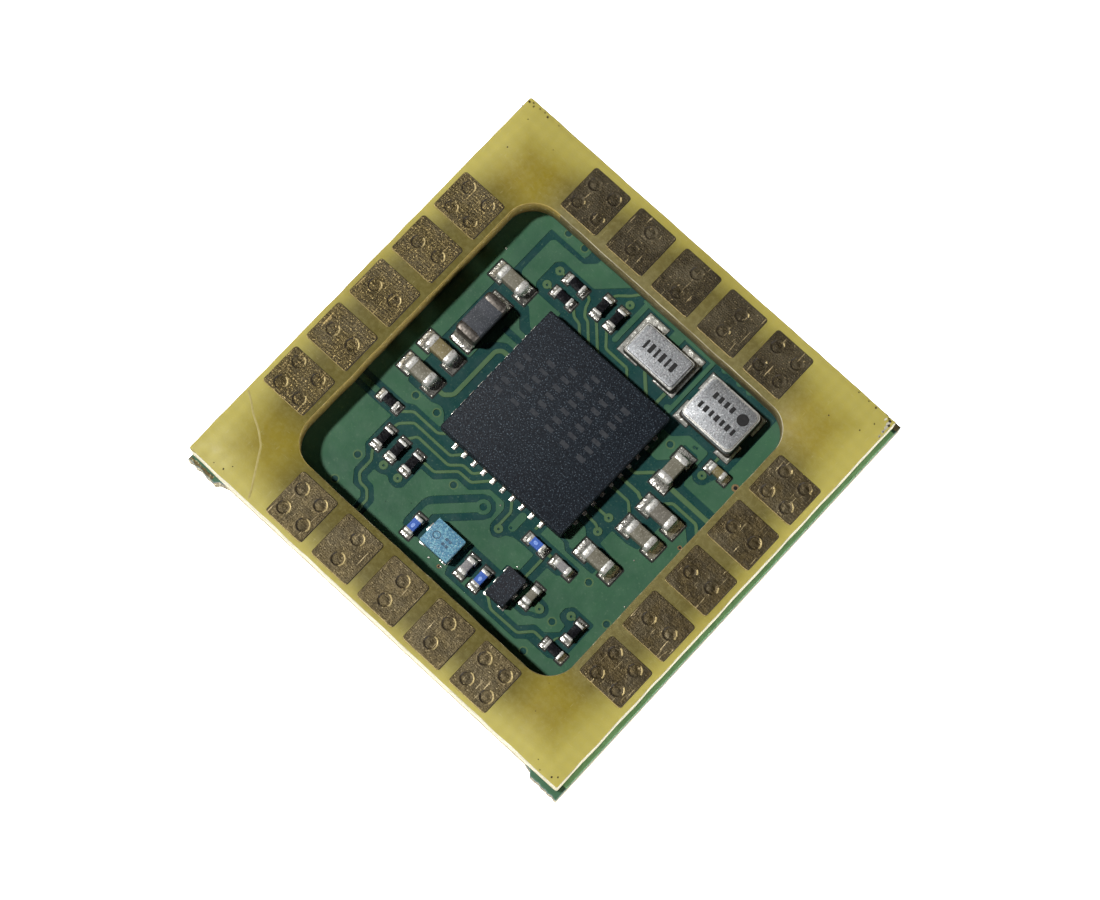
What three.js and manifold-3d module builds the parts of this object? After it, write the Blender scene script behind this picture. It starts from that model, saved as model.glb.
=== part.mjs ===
// Satellite receiver module, land side up: a windowed frame of bare laminate soldered on a base board.
// Millimetres, +Z up. The origin is the middle of the base board's underside.
// +X and +Y lie along the board's edges. The lands face +Z.

import * as THREE from 'three';
import { mergeVertices } from 'three/addons/utils/BufferGeometryUtils.js';
import Module from 'manifold-3d';

const wasm = await Module();
wasm.setup();

// ---------- driving dimensions ----------

const BOARD_WIDTH = 15.4;          // along X
const BOARD_LENGTH = 15.8;         // along Y, over the corner tabs
const BOARD_THICKNESS = 0.8;
const TAB_REACH = 0.22;            // how far a corner tab stands out of the board's edge
const TAB_LENGTH = 1.1;            // along X, full-height part of a tab
const TAB_RAMP = 0.4;              // run of the slope where a tab was cut free

const FRAME_WIDTH = 15.2;
const FRAME_LENGTH = 15.25;
const FRAME_THICKNESS = 0.9;
const FRAME_CENTRE = [-0.1, -0.055];
const FRAME_CORNER_RADIUS = 0.08;
const JOINT_GAP = 0.05;            // solder between the frame and the base board

const ARRAY_CENTRE = [-0.13, -0.11];   // middle of the land array and of the window
const WINDOW_SIZE = 11.0;
const WINDOW_RADIUS = 1.0;

const LAND_PITCH = 1.9;
const LANDS_PER_SIDE = 5;
const LAND_WIDTH = 1.5;            // along the board's edge
const LAND_DEPTH = 1.7;            // towards the window
const LAND_ROW = 6.57;             // array centre to a row's middle
const LAND_THICKNESS = 0.05;
const BARREL_RADIUS = 0.17;
const BARREL_SPREAD = 0.4;         // half the distance between two plated holes
const HOLE_CLEARANCE = 0.02;
const ROUND_STEPS = 4;             // curve steps: 8 sides on a hole, 8 on a rounded corner

const CHIP = { side: 5.0, height: 0.55, standoff: 0.02, x: -0.03, y: 0.67 };
const CHIP_PAD = { side: 3.3, thickness: 0.2 };
const CHIP_DIE = { side: 2.6, thickness: 0.15 };
const CAVITY_CLEARANCE = 0.02;

// A ceramic base of height "base" with an open cavity down to "floor", and a lid on its rim.
const CRYSTAL = { length: 2.0, width: 1.2, wall: 0.22, base: 0.42, floor: 0.15, x: 0.9, y: 4.4 };
const CRYSTAL_LID = { height: 0.08, inset: 0.07, radius: 0.08 };
const OSCILLATOR = { length: 2.05, width: 1.65, wall: 0.2, base: 0.3, floor: 0.06, x: 3.54, y: 4.31 };
const OSCILLATOR_LID = { height: 0.32, inset: 0.02, radius: 0.18, wall: 0.13 };
const OSCILLATOR_CHIP = { length: 0.9, width: 0.8, thickness: 0.08, offset: 0.25 };
const BLANK = { thickness: 0.06, clearance: 0.05 };    // the quartz strip in either cavity

const FILTER = { length: 1.1, width: 0.9, substrate: 0.18, cap: 0.24, x: -0.05, y: -4.35 };
const AMPLIFIER = { length: 0.7, width: 1.1, height: 0.42, x: 2.32, y: -4.08 };

// Chip sizes: length, width, height, and the length of each metal end.
const SIZES = {
  capLarge: { length: 1.0, width: 0.5, height: 0.5, end: 0.22 },
  capSmall: { length: 0.6, width: 0.3, height: 0.3, end: 0.15 },
  coilLarge: { length: 1.6, width: 0.8, height: 0.75, end: 0.3 },
  coilSmall: { length: 0.6, width: 0.3, height: 0.28, end: 0.12 },
  resistor: { length: 0.6, width: 0.3, height: 0.24, end: 0.13 },
};
const END_PROUD = 0.012;           // a chip's metal ends stand this far out of its body
const MERGE_TOLERANCE = 1e-5;

// Places from the array centre. "along" is the axis that the chip's length follows.
const CHIPS = [
  ['capacitor_01', 'capLarge', -4.07, 3.11, 'x'],
  ['capacitor_02', 'capLarge', -4.18, -0.02, 'x'],
  ['capacitor_03', 'capLarge', -4.16, -0.96, 'x'],
  ['capacitor_04', 'capLarge', 3.58, 2.09, 'y'],
  ['capacitor_05', 'capLarge', 4.28, 0.78, 'x'],
  ['capacitor_06', 'capLarge', 4.27, -0.11, 'x'],
  ['capacitor_07', 'capLarge', 3.81, -1.56, 'x'],
  ['capacitor_08', 'capSmall', 4.64, 2.97, 'x'],
  ['capacitor_09', 'capSmall', 3.16, -2.44, 'x'],
  ['capacitor_10', 'capSmall', 3.06, -3.73, 'y'],
  ['capacitor_11', 'capSmall', 1.0, -4.4, 'y'],
  ['inductor_01', 'coilLarge', -3.93, 1.53, 'y'],
  ['inductor_02', 'coilSmall', 2.09, -2.46, 'x'],
  ['inductor_03', 'coilSmall', -1.05, -4.58, 'y'],
  ['inductor_04', 'coilSmall', 1.57, -4.4, 'y'],
  ['resistor_01', 'resistor', -4.27, -2.25, 'x'],
  ['resistor_02', 'resistor', -3.63, -3.2, 'y'],
  ['resistor_03', 'resistor', -3.05, -3.2, 'y'],
  ['resistor_04', 'resistor', -2.43, -3.2, 'y'],
  ['resistor_05', 'resistor', -2.57, 4.38, 'x'],
  ['resistor_06', 'resistor', -2.58, 3.81, 'x'],
  ['resistor_07', 'resistor', -1.5, 4.43, 'y'],
  ['resistor_08', 'resistor', -0.92, 4.43, 'y'],
  ['resistor_09', 'resistor', 4.76, -3.66, 'y'],
  ['resistor_10', 'resistor', 4.69, -4.49, 'x'],
];

// ---------- levels ----------

const FRAME_BOTTOM = BOARD_THICKNESS + JOINT_GAP;
const FRAME_TOP = FRAME_BOTTOM + FRAME_THICKNESS;

// ---------- materials ----------

function material(color, roughness, metalness) {
  return new THREE.MeshStandardMaterial({ color, roughness, metalness });
}

const MATERIALS = {
  boardMask: () => material(0x466e50, 0.35, 0.0),
  bareLaminate: () => material(0xab9b4c, 0.55, 0.0),
  land: () => material(0x6b6044, 0.5, 0.85),
  mould: () => material(0x2a2e38, 0.6, 0.0),
  copper: () => material(0xb06a3c, 0.4, 0.9),
  silicon: () => material(0x50545c, 0.2, 0.6),
  ceramic: () => material(0x7a6f5a, 0.6, 0.0),
  lid: () => material(0xa8a8b0, 0.35, 0.95),
  quartz: () => material(0xd8dce0, 0.1, 0.0),
  filterCap: () => material(0x86b8d6, 0.45, 0.0),
  capLarge: () => material(0x938a74, 0.4, 0.2),
  capSmall: () => material(0x9a9280, 0.4, 0.2),
  coilLarge: () => material(0x5c5b66, 0.5, 0.2),
  coilSmall: () => material(0x3f62b8, 0.3, 0.1),
  resistor: () => material(0x17181c, 0.3, 0.1),
};

// ---------- solids ----------

function toSolid(geometry) {
  const plain = geometry.clone();
  plain.deleteAttribute('normal');
  plain.deleteAttribute('uv');
  const merged = mergeVertices(plain, MERGE_TOLERANCE);
  const mesh = new wasm.Mesh({
    numProp: 3,
    vertProperties: new Float32Array(merged.attributes.position.array),
    triVerts: new Uint32Array(merged.index.array),
  });
  return new wasm.Manifold(mesh);
}

function toGeometry(solid) {
  const mesh = solid.getMesh();
  const geometry = new THREE.BufferGeometry();
  geometry.setAttribute('position', new THREE.BufferAttribute(mesh.vertProperties, 3));
  geometry.setIndex(new THREE.BufferAttribute(mesh.triVerts, 1));
  geometry.computeVertexNormals();
  return geometry;
}

// A box by its size and the height of its underside, centred on x and y.
function block(length, width, height, bottom, x = 0, y = 0) {
  const geometry = new THREE.BoxGeometry(length, width, height);
  geometry.translate(x, y, bottom + height / 2);
  return toSolid(geometry);
}

function roundBlock(length, width, height, bottom, radius) {
  const geometry = new THREE.ExtrudeGeometry(roundedRectangle(length, width, radius), {
    depth: height,
    bevelEnabled: false,
    curveSegments: 2,
  });
  geometry.translate(0, 0, bottom);
  return toSolid(geometry);
}

function barrel(x, y, bottom, height) {
  const sides = 2 * ROUND_STEPS;
  const geometry = new THREE.CylinderGeometry(BARREL_RADIUS, BARREL_RADIUS, height, sides);
  geometry.rotateX(Math.PI / 2);
  geometry.translate(x, y, bottom + height / 2);
  return toSolid(geometry);
}

function roundedRectangle(width, length, radius, path = new THREE.Shape()) {
  const x = width / 2;
  const y = length / 2;
  path.moveTo(x, -y + radius);
  path.lineTo(x, y - radius);
  path.absarc(x - radius, y - radius, radius, 0, Math.PI / 2);
  path.lineTo(-x + radius, y);
  path.absarc(-x + radius, y - radius, radius, Math.PI / 2, Math.PI);
  path.lineTo(-x, -y + radius);
  path.absarc(-x + radius, -y + radius, radius, Math.PI, 1.5 * Math.PI);
  path.lineTo(x - radius, -y);
  path.absarc(x - radius, -y + radius, radius, 1.5 * Math.PI, 2 * Math.PI);
  return path;
}

// ---------- the land array ----------

// Each land has its middle, the direction out of the board, and whether it ends its row.
function landPlaces() {
  const middle = (LANDS_PER_SIDE - 1) / 2;
  const places = [];
  for (let side = 0; side < 4; side += 1) {
    const turn = side * Math.PI / 2;
    for (let i = 0; i < LANDS_PER_SIDE; i += 1) {
      const along = (i - middle) * LAND_PITCH;
      places.push({
        x: Math.cos(turn) * along + Math.sin(turn) * LAND_ROW,
        y: Math.sin(turn) * along - Math.cos(turn) * LAND_ROW,
        alongX: side % 2 === 0,
        isEnd: i === 0 || i === LANDS_PER_SIDE - 1,
      });
    }
  }
  return places;
}

// Offsets of a land's plated holes: four in a square, or two in a line across the row.
function barrelOffsets(place) {
  if (place.isEnd) {
    return [[-1, -1], [1, -1], [1, 1], [-1, 1]].map(([i, j]) => [i * BARREL_SPREAD, j * BARREL_SPREAD]);
  }
  return [-1, 1].map((i) => (place.alongX ? [0, i * BARREL_SPREAD] : [i * BARREL_SPREAD, 0]));
}

function landSolid(place) {
  const sizeX = place.alongX ? LAND_WIDTH : LAND_DEPTH;
  const sizeY = place.alongX ? LAND_DEPTH : LAND_WIDTH;
  let solid = block(sizeX, sizeY, LAND_THICKNESS, FRAME_TOP);
  solid = solid.add(block(sizeX, sizeY, JOINT_GAP, BOARD_THICKNESS));
  for (const [x, y] of barrelOffsets(place)) {
    const bottom = FRAME_BOTTOM - JOINT_GAP / 2;
    const height = FRAME_THICKNESS + JOINT_GAP / 2 + LAND_THICKNESS / 2;
    solid = solid.add(barrel(x, y, bottom, height));
  }
  return solid;
}

// ---------- the two boards ----------

// The board's outline: a rectangle with a short tab at each end of its two Y edges.
function boardOutline() {
  const x = BOARD_WIDTH / 2;
  const outer = BOARD_LENGTH / 2;
  const inner = outer - TAB_REACH;
  const tab = x - TAB_LENGTH;
  const foot = tab - TAB_RAMP;
  const shape = new THREE.Shape();
  shape.moveTo(-x, -outer);
  shape.lineTo(-tab, -outer);
  shape.quadraticCurveTo(-tab + TAB_RAMP / 3, -inner, -foot, -inner);
  shape.lineTo(foot, -inner);
  shape.quadraticCurveTo(tab - TAB_RAMP / 3, -inner, tab, -outer);
  shape.lineTo(x, -outer);
  shape.lineTo(x, outer);
  shape.lineTo(tab, outer);
  shape.quadraticCurveTo(tab - TAB_RAMP / 3, inner, foot, inner);
  shape.lineTo(-foot, inner);
  shape.quadraticCurveTo(-tab + TAB_RAMP / 3, inner, -tab, outer);
  shape.lineTo(-x, outer);
  shape.closePath();
  return shape;
}

function baseBoard() {
  const geometry = new THREE.ExtrudeGeometry(boardOutline(), {
    depth: BOARD_THICKNESS,
    bevelEnabled: false,
    curveSegments: ROUND_STEPS,
  });
  return toSolid(geometry);
}

function windowFrame() {
  const offsetX = ARRAY_CENTRE[0] - FRAME_CENTRE[0];
  const offsetY = ARRAY_CENTRE[1] - FRAME_CENTRE[1];
  const outline = roundedRectangle(FRAME_WIDTH, FRAME_LENGTH, FRAME_CORNER_RADIUS);
  const holeRadius = BARREL_RADIUS + HOLE_CLEARANCE;
  for (const place of landPlaces()) {
    for (const [x, y] of barrelOffsets(place)) {
      const hole = new THREE.Path();
      hole.absarc(offsetX + place.x + x, offsetY + place.y + y, holeRadius, 0, 2 * Math.PI);
      outline.holes.push(hole);
    }
  }
  const plate = new THREE.ExtrudeGeometry(outline, {
    depth: FRAME_THICKNESS,
    bevelEnabled: false,
    curveSegments: ROUND_STEPS,
  });
  plate.translate(0, 0, FRAME_BOTTOM);
  const opening = roundedRectangle(WINDOW_SIZE, WINDOW_SIZE, WINDOW_RADIUS);
  const cutter = new THREE.ExtrudeGeometry(opening, {
    depth: 2 * FRAME_THICKNESS,
    bevelEnabled: false,
    curveSegments: ROUND_STEPS,
  });
  cutter.translate(offsetX, offsetY, FRAME_BOTTOM - FRAME_THICKNESS / 2);
  return toSolid(plate).subtract(toSolid(cutter));
}

// ---------- the receiver chip ----------

const PAD_BOTTOM = BOARD_THICKNESS;
const DIE_BOTTOM = PAD_BOTTOM + CHIP_PAD.thickness;
const MOULD_BOTTOM = BOARD_THICKNESS + CHIP.standoff;

function receiverMould() {
  const height = CHIP.height - CHIP.standoff;
  const padHole = CHIP_PAD.side + 2 * CAVITY_CLEARANCE;
  const dieHole = CHIP_DIE.side + 2 * CAVITY_CLEARANCE;
  const padTop = DIE_BOTTOM + CAVITY_CLEARANCE;
  const dieTop = DIE_BOTTOM + CHIP_DIE.thickness + CAVITY_CLEARANCE;
  return block(CHIP.side, CHIP.side, height, MOULD_BOTTOM)
    .subtract(block(padHole, padHole, padTop - PAD_BOTTOM, PAD_BOTTOM))
    .subtract(block(dieHole, dieHole, dieTop - PAD_BOTTOM, PAD_BOTTOM));
}

// ---------- the crystal and the oscillator ----------

// The quartz strip lies on a shelf this far up the cavity.
function shelfTop(part) {
  return BOARD_THICKNESS + part.base - 2 * BLANK.thickness;
}

// A ceramic box with an open cavity. The shelf is at its -X end.
function ceramicBase(part) {
  const inside = part.length - 2 * part.wall;
  const across = part.width - 2 * part.wall;
  const shelf = inside / 4;
  const bottom = BOARD_THICKNESS + part.floor;
  return block(part.length, part.width, part.base, BOARD_THICKNESS)
    .subtract(block(inside, across, part.base, shelfTop(part)))
    .subtract(block(inside - shelf, across, part.base, bottom, shelf / 2));
}

// The strip lies on the shelf, clear of the cavity's walls.
function quartzStrip(part) {
  const length = part.length - 2 * (part.wall + BLANK.clearance);
  const width = part.width - 2 * (part.wall + BLANK.clearance);
  return block(length, width, BLANK.thickness, shelfTop(part));
}

// A flat plate with rounded corners on the base's rim.
function lidPlate(part, lid) {
  const length = part.length - 2 * lid.inset;
  const width = part.width - 2 * lid.inset;
  return roundBlock(length, width, lid.height, BOARD_THICKNESS + part.base, lid.radius);
}

// A shallow metal can, open underneath.
function oscillatorLid() {
  const margin = 2 * (OSCILLATOR_LID.inset + OSCILLATOR_LID.wall);
  const hollow = block(
    OSCILLATOR.length - margin,
    OSCILLATOR.width - margin,
    OSCILLATOR_LID.height - OSCILLATOR_LID.wall,
    BOARD_THICKNESS + OSCILLATOR.base,
  );
  return lidPlate(OSCILLATOR, OSCILLATOR_LID).subtract(hollow);
}

// The drive chip lies on the cavity's floor, beside the shelf and under the strip.
function oscillatorChip() {
  const { length, width, thickness, offset } = OSCILLATOR_CHIP;
  return block(length, width, thickness, BOARD_THICKNESS + OSCILLATOR.floor, offset);
}

// ---------- small chips ----------

// A body with a slightly larger metal cap on each end, along X.
function chipPart(size) {
  const proud = 2 * END_PROUD;
  const body = block(
    size.length - proud,
    size.width - proud,
    size.height - proud,
    BOARD_THICKNESS + END_PROUD,
  );
  const reach = (size.length - size.end) / 2;
  return body
    .add(block(size.end, size.width, size.height, BOARD_THICKNESS, -reach))
    .add(block(size.end, size.width, size.height, BOARD_THICKNESS, reach));
}

// ---------- assembly ----------

const module = new THREE.Group();
const array = new THREE.Group();
array.position.set(ARRAY_CENTRE[0], ARRAY_CENTRE[1], 0);
module.add(array);

function place(group, name, solid, finish, x = 0, y = 0, turn = 0) {
  const mesh = new THREE.Mesh(toGeometry(solid), finish);
  mesh.name = name;
  mesh.position.set(x, y, 0);
  mesh.rotation.z = turn;
  group.add(mesh);
}

place(module, 'base_board', baseBoard(), MATERIALS.boardMask());
place(module, 'window_frame', windowFrame(), MATERIALS.bareLaminate(), ...FRAME_CENTRE);

landPlaces().forEach((spot, index) => {
  const name = `land_${String(index + 1).padStart(2, '0')}`;
  place(array, name, landSolid(spot), MATERIALS.land(), spot.x, spot.y);
});

const padSolid = block(CHIP_PAD.side, CHIP_PAD.side, CHIP_PAD.thickness, PAD_BOTTOM);
const dieSolid = block(CHIP_DIE.side, CHIP_DIE.side, CHIP_DIE.thickness, DIE_BOTTOM);
place(array, 'receiver_mould', receiverMould(), MATERIALS.mould(), CHIP.x, CHIP.y);
place(array, 'receiver_pad', padSolid, MATERIALS.copper(), CHIP.x, CHIP.y);
place(array, 'receiver_die', dieSolid, MATERIALS.silicon(), CHIP.x, CHIP.y);

const crystalPlace = [CRYSTAL.x, CRYSTAL.y];
place(array, 'crystal_base', ceramicBase(CRYSTAL), MATERIALS.ceramic(), ...crystalPlace);
place(array, 'crystal_blank', quartzStrip(CRYSTAL), MATERIALS.quartz(), ...crystalPlace);
place(array, 'crystal_lid', lidPlate(CRYSTAL, CRYSTAL_LID), MATERIALS.lid(), ...crystalPlace);

const oscillatorPlace = [OSCILLATOR.x, OSCILLATOR.y];
place(array, 'oscillator_base', ceramicBase(OSCILLATOR), MATERIALS.ceramic(), ...oscillatorPlace);
place(array, 'oscillator_chip', oscillatorChip(), MATERIALS.silicon(), ...oscillatorPlace);
place(array, 'oscillator_blank', quartzStrip(OSCILLATOR), MATERIALS.quartz(), ...oscillatorPlace);
place(array, 'oscillator_lid', oscillatorLid(), MATERIALS.lid(), ...oscillatorPlace);

const substrate = block(FILTER.length, FILTER.width, FILTER.substrate, BOARD_THICKNESS);
const cap = block(FILTER.length, FILTER.width, FILTER.cap, BOARD_THICKNESS + FILTER.substrate);
place(array, 'filter_substrate', substrate, MATERIALS.ceramic(), FILTER.x, FILTER.y);
place(array, 'filter_cap', cap, MATERIALS.filterCap(), FILTER.x, FILTER.y);

const amplifier = block(AMPLIFIER.length, AMPLIFIER.width, AMPLIFIER.height, BOARD_THICKNESS);
place(array, 'amplifier', amplifier, MATERIALS.mould(), AMPLIFIER.x, AMPLIFIER.y);

for (const [name, size, x, y, along] of CHIPS) {
  const turn = along === 'y' ? Math.PI / 2 : 0;
  place(array, name, chipPart(SIZES[size]), MATERIALS[size](), x, y, turn);
}

export default module;
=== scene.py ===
import math
import random

import bmesh
import bpy
from mathutils import Matrix, Vector, noise
from mathutils.geometry import delaunay_2d_cdt


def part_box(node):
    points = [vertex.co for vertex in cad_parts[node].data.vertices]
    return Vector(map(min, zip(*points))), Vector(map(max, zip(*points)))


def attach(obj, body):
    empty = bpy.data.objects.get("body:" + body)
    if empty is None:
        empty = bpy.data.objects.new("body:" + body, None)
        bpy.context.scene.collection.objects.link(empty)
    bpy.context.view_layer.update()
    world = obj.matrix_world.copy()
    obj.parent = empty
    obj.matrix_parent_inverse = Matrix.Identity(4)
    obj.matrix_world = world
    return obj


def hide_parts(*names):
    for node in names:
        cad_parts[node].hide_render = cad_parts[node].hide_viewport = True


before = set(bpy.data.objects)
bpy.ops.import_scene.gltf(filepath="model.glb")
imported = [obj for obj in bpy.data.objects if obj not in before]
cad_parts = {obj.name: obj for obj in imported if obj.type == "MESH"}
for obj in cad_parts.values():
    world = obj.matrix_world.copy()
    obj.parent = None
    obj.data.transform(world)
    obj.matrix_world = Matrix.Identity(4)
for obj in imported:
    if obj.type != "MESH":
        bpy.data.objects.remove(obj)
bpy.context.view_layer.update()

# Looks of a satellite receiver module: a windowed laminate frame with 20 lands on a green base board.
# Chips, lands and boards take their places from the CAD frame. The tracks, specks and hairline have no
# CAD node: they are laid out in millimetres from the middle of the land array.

MM = 0.001                     # every length below is in millimetres, and meshes are scaled by this


# ---------- places read from the CAD frame ----------

def corners(node):
    """A node's lowest and highest corner in millimetres."""
    low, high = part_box(node)
    return Vector(low) / MM, Vector(high) / MM


def middle(node):
    low, high = corners(node)
    return (low + high) / 2


LANDS = [f"land_{i:02d}" for i in range(1, 21)]
ARRAY_X = (middle("land_18").x + middle("land_08").x) / 2
ARRAY_Y = (middle("land_03").y + middle("land_13").y) / 2
BOARD_LOW, BOARD_HIGH = corners("base_board")
FRAME_LOW, FRAME_HIGH = corners("window_frame")
CHIP_LOW, CHIP_HIGH = corners("receiver_mould")
BOARD_TOP = BOARD_HIGH.z
FRAME_TOP = FRAME_HIGH.z
WINDOW_HALF = 5.5
WINDOW_RADIUS = 1.0
UNDERSIDE_RELIEF = 0.02
MASK_RISE = 0.022              # solder mask over copper stands this far above mask over laminate


# ---------- outlines ----------

def circle(x, y, diameter, steps=20):
    turns = [2 * math.pi * i / steps for i in range(steps)]
    return [(x + diameter / 2 * math.cos(a), y + diameter / 2 * math.sin(a)) for a in turns]


def box_outline(x0, y0, x1, y1):
    return [(x0, y0), (x1, y0), (x1, y1), (x0, y1)]


def curve_corner(before, corner, after, radius, steps):
    """Points of a short curve that rounds one corner."""
    corner = Vector(corner)
    back = Vector(before) - corner
    ahead = Vector(after) - corner
    cut_back = corner + back.normalized() * min(radius, 0.45 * back.length)
    cut_ahead = corner + ahead.normalized() * min(radius, 0.45 * ahead.length)
    points = []
    for i in range(steps + 1):
        t = i / steps
        point = cut_back * (1 - t) ** 2 + corner * 2 * t * (1 - t) + cut_ahead * t * t
        points.append((point.x, point.y))
    return points


def soften(points, radius=0.06, steps=3):
    """A closed outline with rounded corners."""
    count = len(points)
    result = []
    for i, corner in enumerate(points):
        result += curve_corner(points[i - 1], corner, points[(i + 1) % count], radius, steps)
    return result


def soften_path(points, radius=0.08, steps=3):
    result = [tuple(points[0])]
    for before, corner, after in zip(points, points[1:], points[2:]):
        result += curve_corner(before, corner, after, radius, steps)
    return result + [tuple(points[-1])]


def ribbon(width, points, cap_steps=5):
    """The outline of a stroke with round ends along a path."""
    path = [Vector(p) for p in soften_path(points)]
    half = width / 2
    left, right = [], []
    for i, point in enumerate(path):
        before = path[max(i - 1, 0)]
        after = path[min(i + 1, len(path) - 1)]
        along = (after - before).normalized()
        side = Vector((-along.y, along.x)) * half
        left.append(point + side)
        right.append(point - side)

    def cap(centre, start):
        turns = [math.pi * i / cap_steps for i in range(1, cap_steps)]
        arm = start - centre
        return [centre + Matrix.Rotation(-a, 2) @ arm for a in turns]

    outline = left + cap(path[-1], left[-1]) + right[::-1] + cap(path[0], right[0])
    return [(p.x, p.y) for p in outline]


def round_rectangle(x0, y0, x1, y1, radius, steps=4):
    """Points around a rectangle with true arcs at its corners, anticlockwise."""
    centres = [(x1 - radius, y0 + radius), (x1 - radius, y1 - radius),
               (x0 + radius, y1 - radius), (x0 + radius, y0 + radius)]
    points = []
    for quarter, (x, y) in enumerate(centres):
        for i in range(steps + 1):
            angle = math.pi / 2 * (quarter - 1 + i / steps)
            points.append((x + radius * math.cos(angle), y + radius * math.sin(angle)))
    return points


def smooth(t):
    t = min(max(t, 0.0), 1.0)
    return t * t * (3 - 2 * t)


# ---------- meshes ----------

class Shape:
    """Vertices and faces in millimetres, with a finish number for each face."""

    def __init__(self):
        self.verts = []
        self.faces = []
        self.finishes = []
        self.matrix = Matrix.Identity(4)

    def place(self, x=0.0, y=0.0, z=0.0, turn=0.0):
        """What is added from here on is turned about Z and moved."""
        self.matrix = Matrix.Translation((x, y, z)) @ Matrix.Rotation(turn, 4, "Z")

    def mirror(self):
        """What is added from here on is also mirrored along its own X."""
        self.matrix = self.matrix @ Matrix.Diagonal((-1, 1, 1, 1))

    def points(self, coordinates):
        start = len(self.verts)
        self.verts += [self.matrix @ Vector(c) for c in coordinates]
        return list(range(start, len(self.verts)))

    def face(self, indices, finish=0):
        self.faces.append(indices)
        self.finishes.append(finish)

    def loft(self, rings, finishes=(0,), caps=(0, 0)):
        """A closed skin over rings with equal numbers of points. caps are the finishes of its two ends."""
        loops = [self.points(ring) for ring in rings]
        for row, (low, high) in enumerate(zip(loops, loops[1:])):
            finish = finishes[min(row, len(finishes) - 1)]
            for i in range(len(low)):
                j = (i + 1) % len(low)
                self.face([low[i], low[j], high[j], high[i]], finish)
        if caps is not None:
            self.face(loops[0][::-1], caps[0])
            self.face(loops[-1], caps[1])

    def slab(self, outline, levels, finishes=(0,), caps=(0, 0)):
        """An outline stacked at (height, inset) levels about its own middle."""
        x0 = (min(p[0] for p in outline) + max(p[0] for p in outline)) / 2
        y0 = (min(p[1] for p in outline) + max(p[1] for p in outline)) / 2
        half_x = max(p[0] for p in outline) - x0
        half_y = max(p[1] for p in outline) - y0
        rings = []
        for height, inset in levels:
            scale_x = 1 - inset / half_x
            scale_y = 1 - inset / half_y
            rings.append([(x0 + (x - x0) * scale_x, y0 + (y - y0) * scale_y, height) for x, y in outline])
        self.loft(rings, finishes, caps)

    def build(self, name, slot, materials, nodes=(), smooth_angle=40.0, weld=False):
        mesh = bpy.data.meshes.new(name)
        mesh.from_pydata([tuple(v * MM) for v in self.verts], [], self.faces)
        for material in materials:
            mesh.materials.append(material)
        mesh.polygons.foreach_set("material_index", self.finishes)
        work = bmesh.new()
        work.from_mesh(mesh)
        if weld:
            bmesh.ops.remove_doubles(work, verts=work.verts, dist=1e-4 * MM)
        bmesh.ops.recalc_face_normals(work, faces=work.faces)
        work.to_mesh(mesh)
        work.free()
        if smooth_angle:
            mesh.polygons.foreach_set("use_smooth", [True] * len(mesh.polygons))
            mesh.set_sharp_from_angle(angle=math.radians(smooth_angle))
        piece = bpy.data.objects.new(name, mesh)
        bpy.context.scene.collection.objects.link(piece)
        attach(piece, "root")
        if nodes:
            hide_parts(*nodes)
        return piece


def draw(items):
    """Paints outlines in order on one plane, inside the first of them.

    Returns points, triangles, and each triangle's topmost kind.
    """
    points, faces = [], []
    for _, outline in items:
        area = sum(a[0] * b[1] - a[1] * b[0] for a, b in zip(outline, outline[1:] + outline[:1]))
        if area < 0:
            outline = outline[::-1]
        faces.append(list(range(len(points), len(points) + len(outline))))
        points += [Vector(p) for p in outline]
    found = delaunay_2d_cdt(points, [], faces, 1, 1e-5)
    triangles, owners = found[2], found[5]
    kinds = [items[max(owner)][0] if 0 in owner else None for owner in owners]
    return found[0], triangles, kinds


def raise_areas(shape, drawing, heights, finishes, base, side=1, lean=0.012):
    """Plates with sloping sides for the kinds in heights, standing on the level base.

    side is 1 on a board's top and -1 on its underside.
    """
    points, triangles, kinds = drawing
    owner = {}
    for triangle, kind in zip(triangles, kinds):
        for a, b in zip(triangle, triangle[1:] + triangle[:1]):
            owner[(a, b)] = heights.get(kind, 0.0)
    for height in sorted(set(heights.values())):
        inward, border = {}, []
        for triangle, kind in zip(triangles, kinds):
            if heights.get(kind, 0.0) != height:
                continue
            for a, b in zip(triangle, triangle[1:] + triangle[:1]):
                if owner.get((b, a), 0.0) < height:
                    along = (points[b] - points[a]).normalized()
                    normal = Vector((-along.y, along.x))
                    inward.setdefault(a, []).append(normal)
                    inward.setdefault(b, []).append(normal)
                    border.append((a, b, kind))
        tops, feet = {}, {}

        def top_of(index):
            if index not in tops:
                spot = points[index].copy()
                if index in inward:
                    total = sum(inward[index], Vector((0, 0)))
                    if total.length > 0.3:
                        spot += total.normalized() * lean
                tops[index] = shape.points([(spot.x, spot.y, base + side * height)])[0]
            return tops[index]

        def foot_of(index):
            if index not in feet:
                spot = points[index]
                feet[index] = shape.points([(spot.x, spot.y, base)])[0]
            return feet[index]

        for triangle, kind in zip(triangles, kinds):
            if heights.get(kind, 0.0) == height:
                shape.face([top_of(i) for i in triangle], finishes[kind])
                shape.face([foot_of(i) for i in triangle[::-1]], finishes[kind])
        for a, b, kind in border:
            shape.face([foot_of(a), foot_of(b), top_of(b), top_of(a)], finishes[kind])


# ---------- finishes ----------

def srgb(red, green, blue):
    """A colour from 0 to 255 values."""
    channels = []
    for value in (red, green, blue):
        value /= 255
        channels.append(value / 12.92 if value <= 0.04045 else ((value + 0.055) / 1.055) ** 2.4)
    return (*channels, 1.0)


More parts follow.
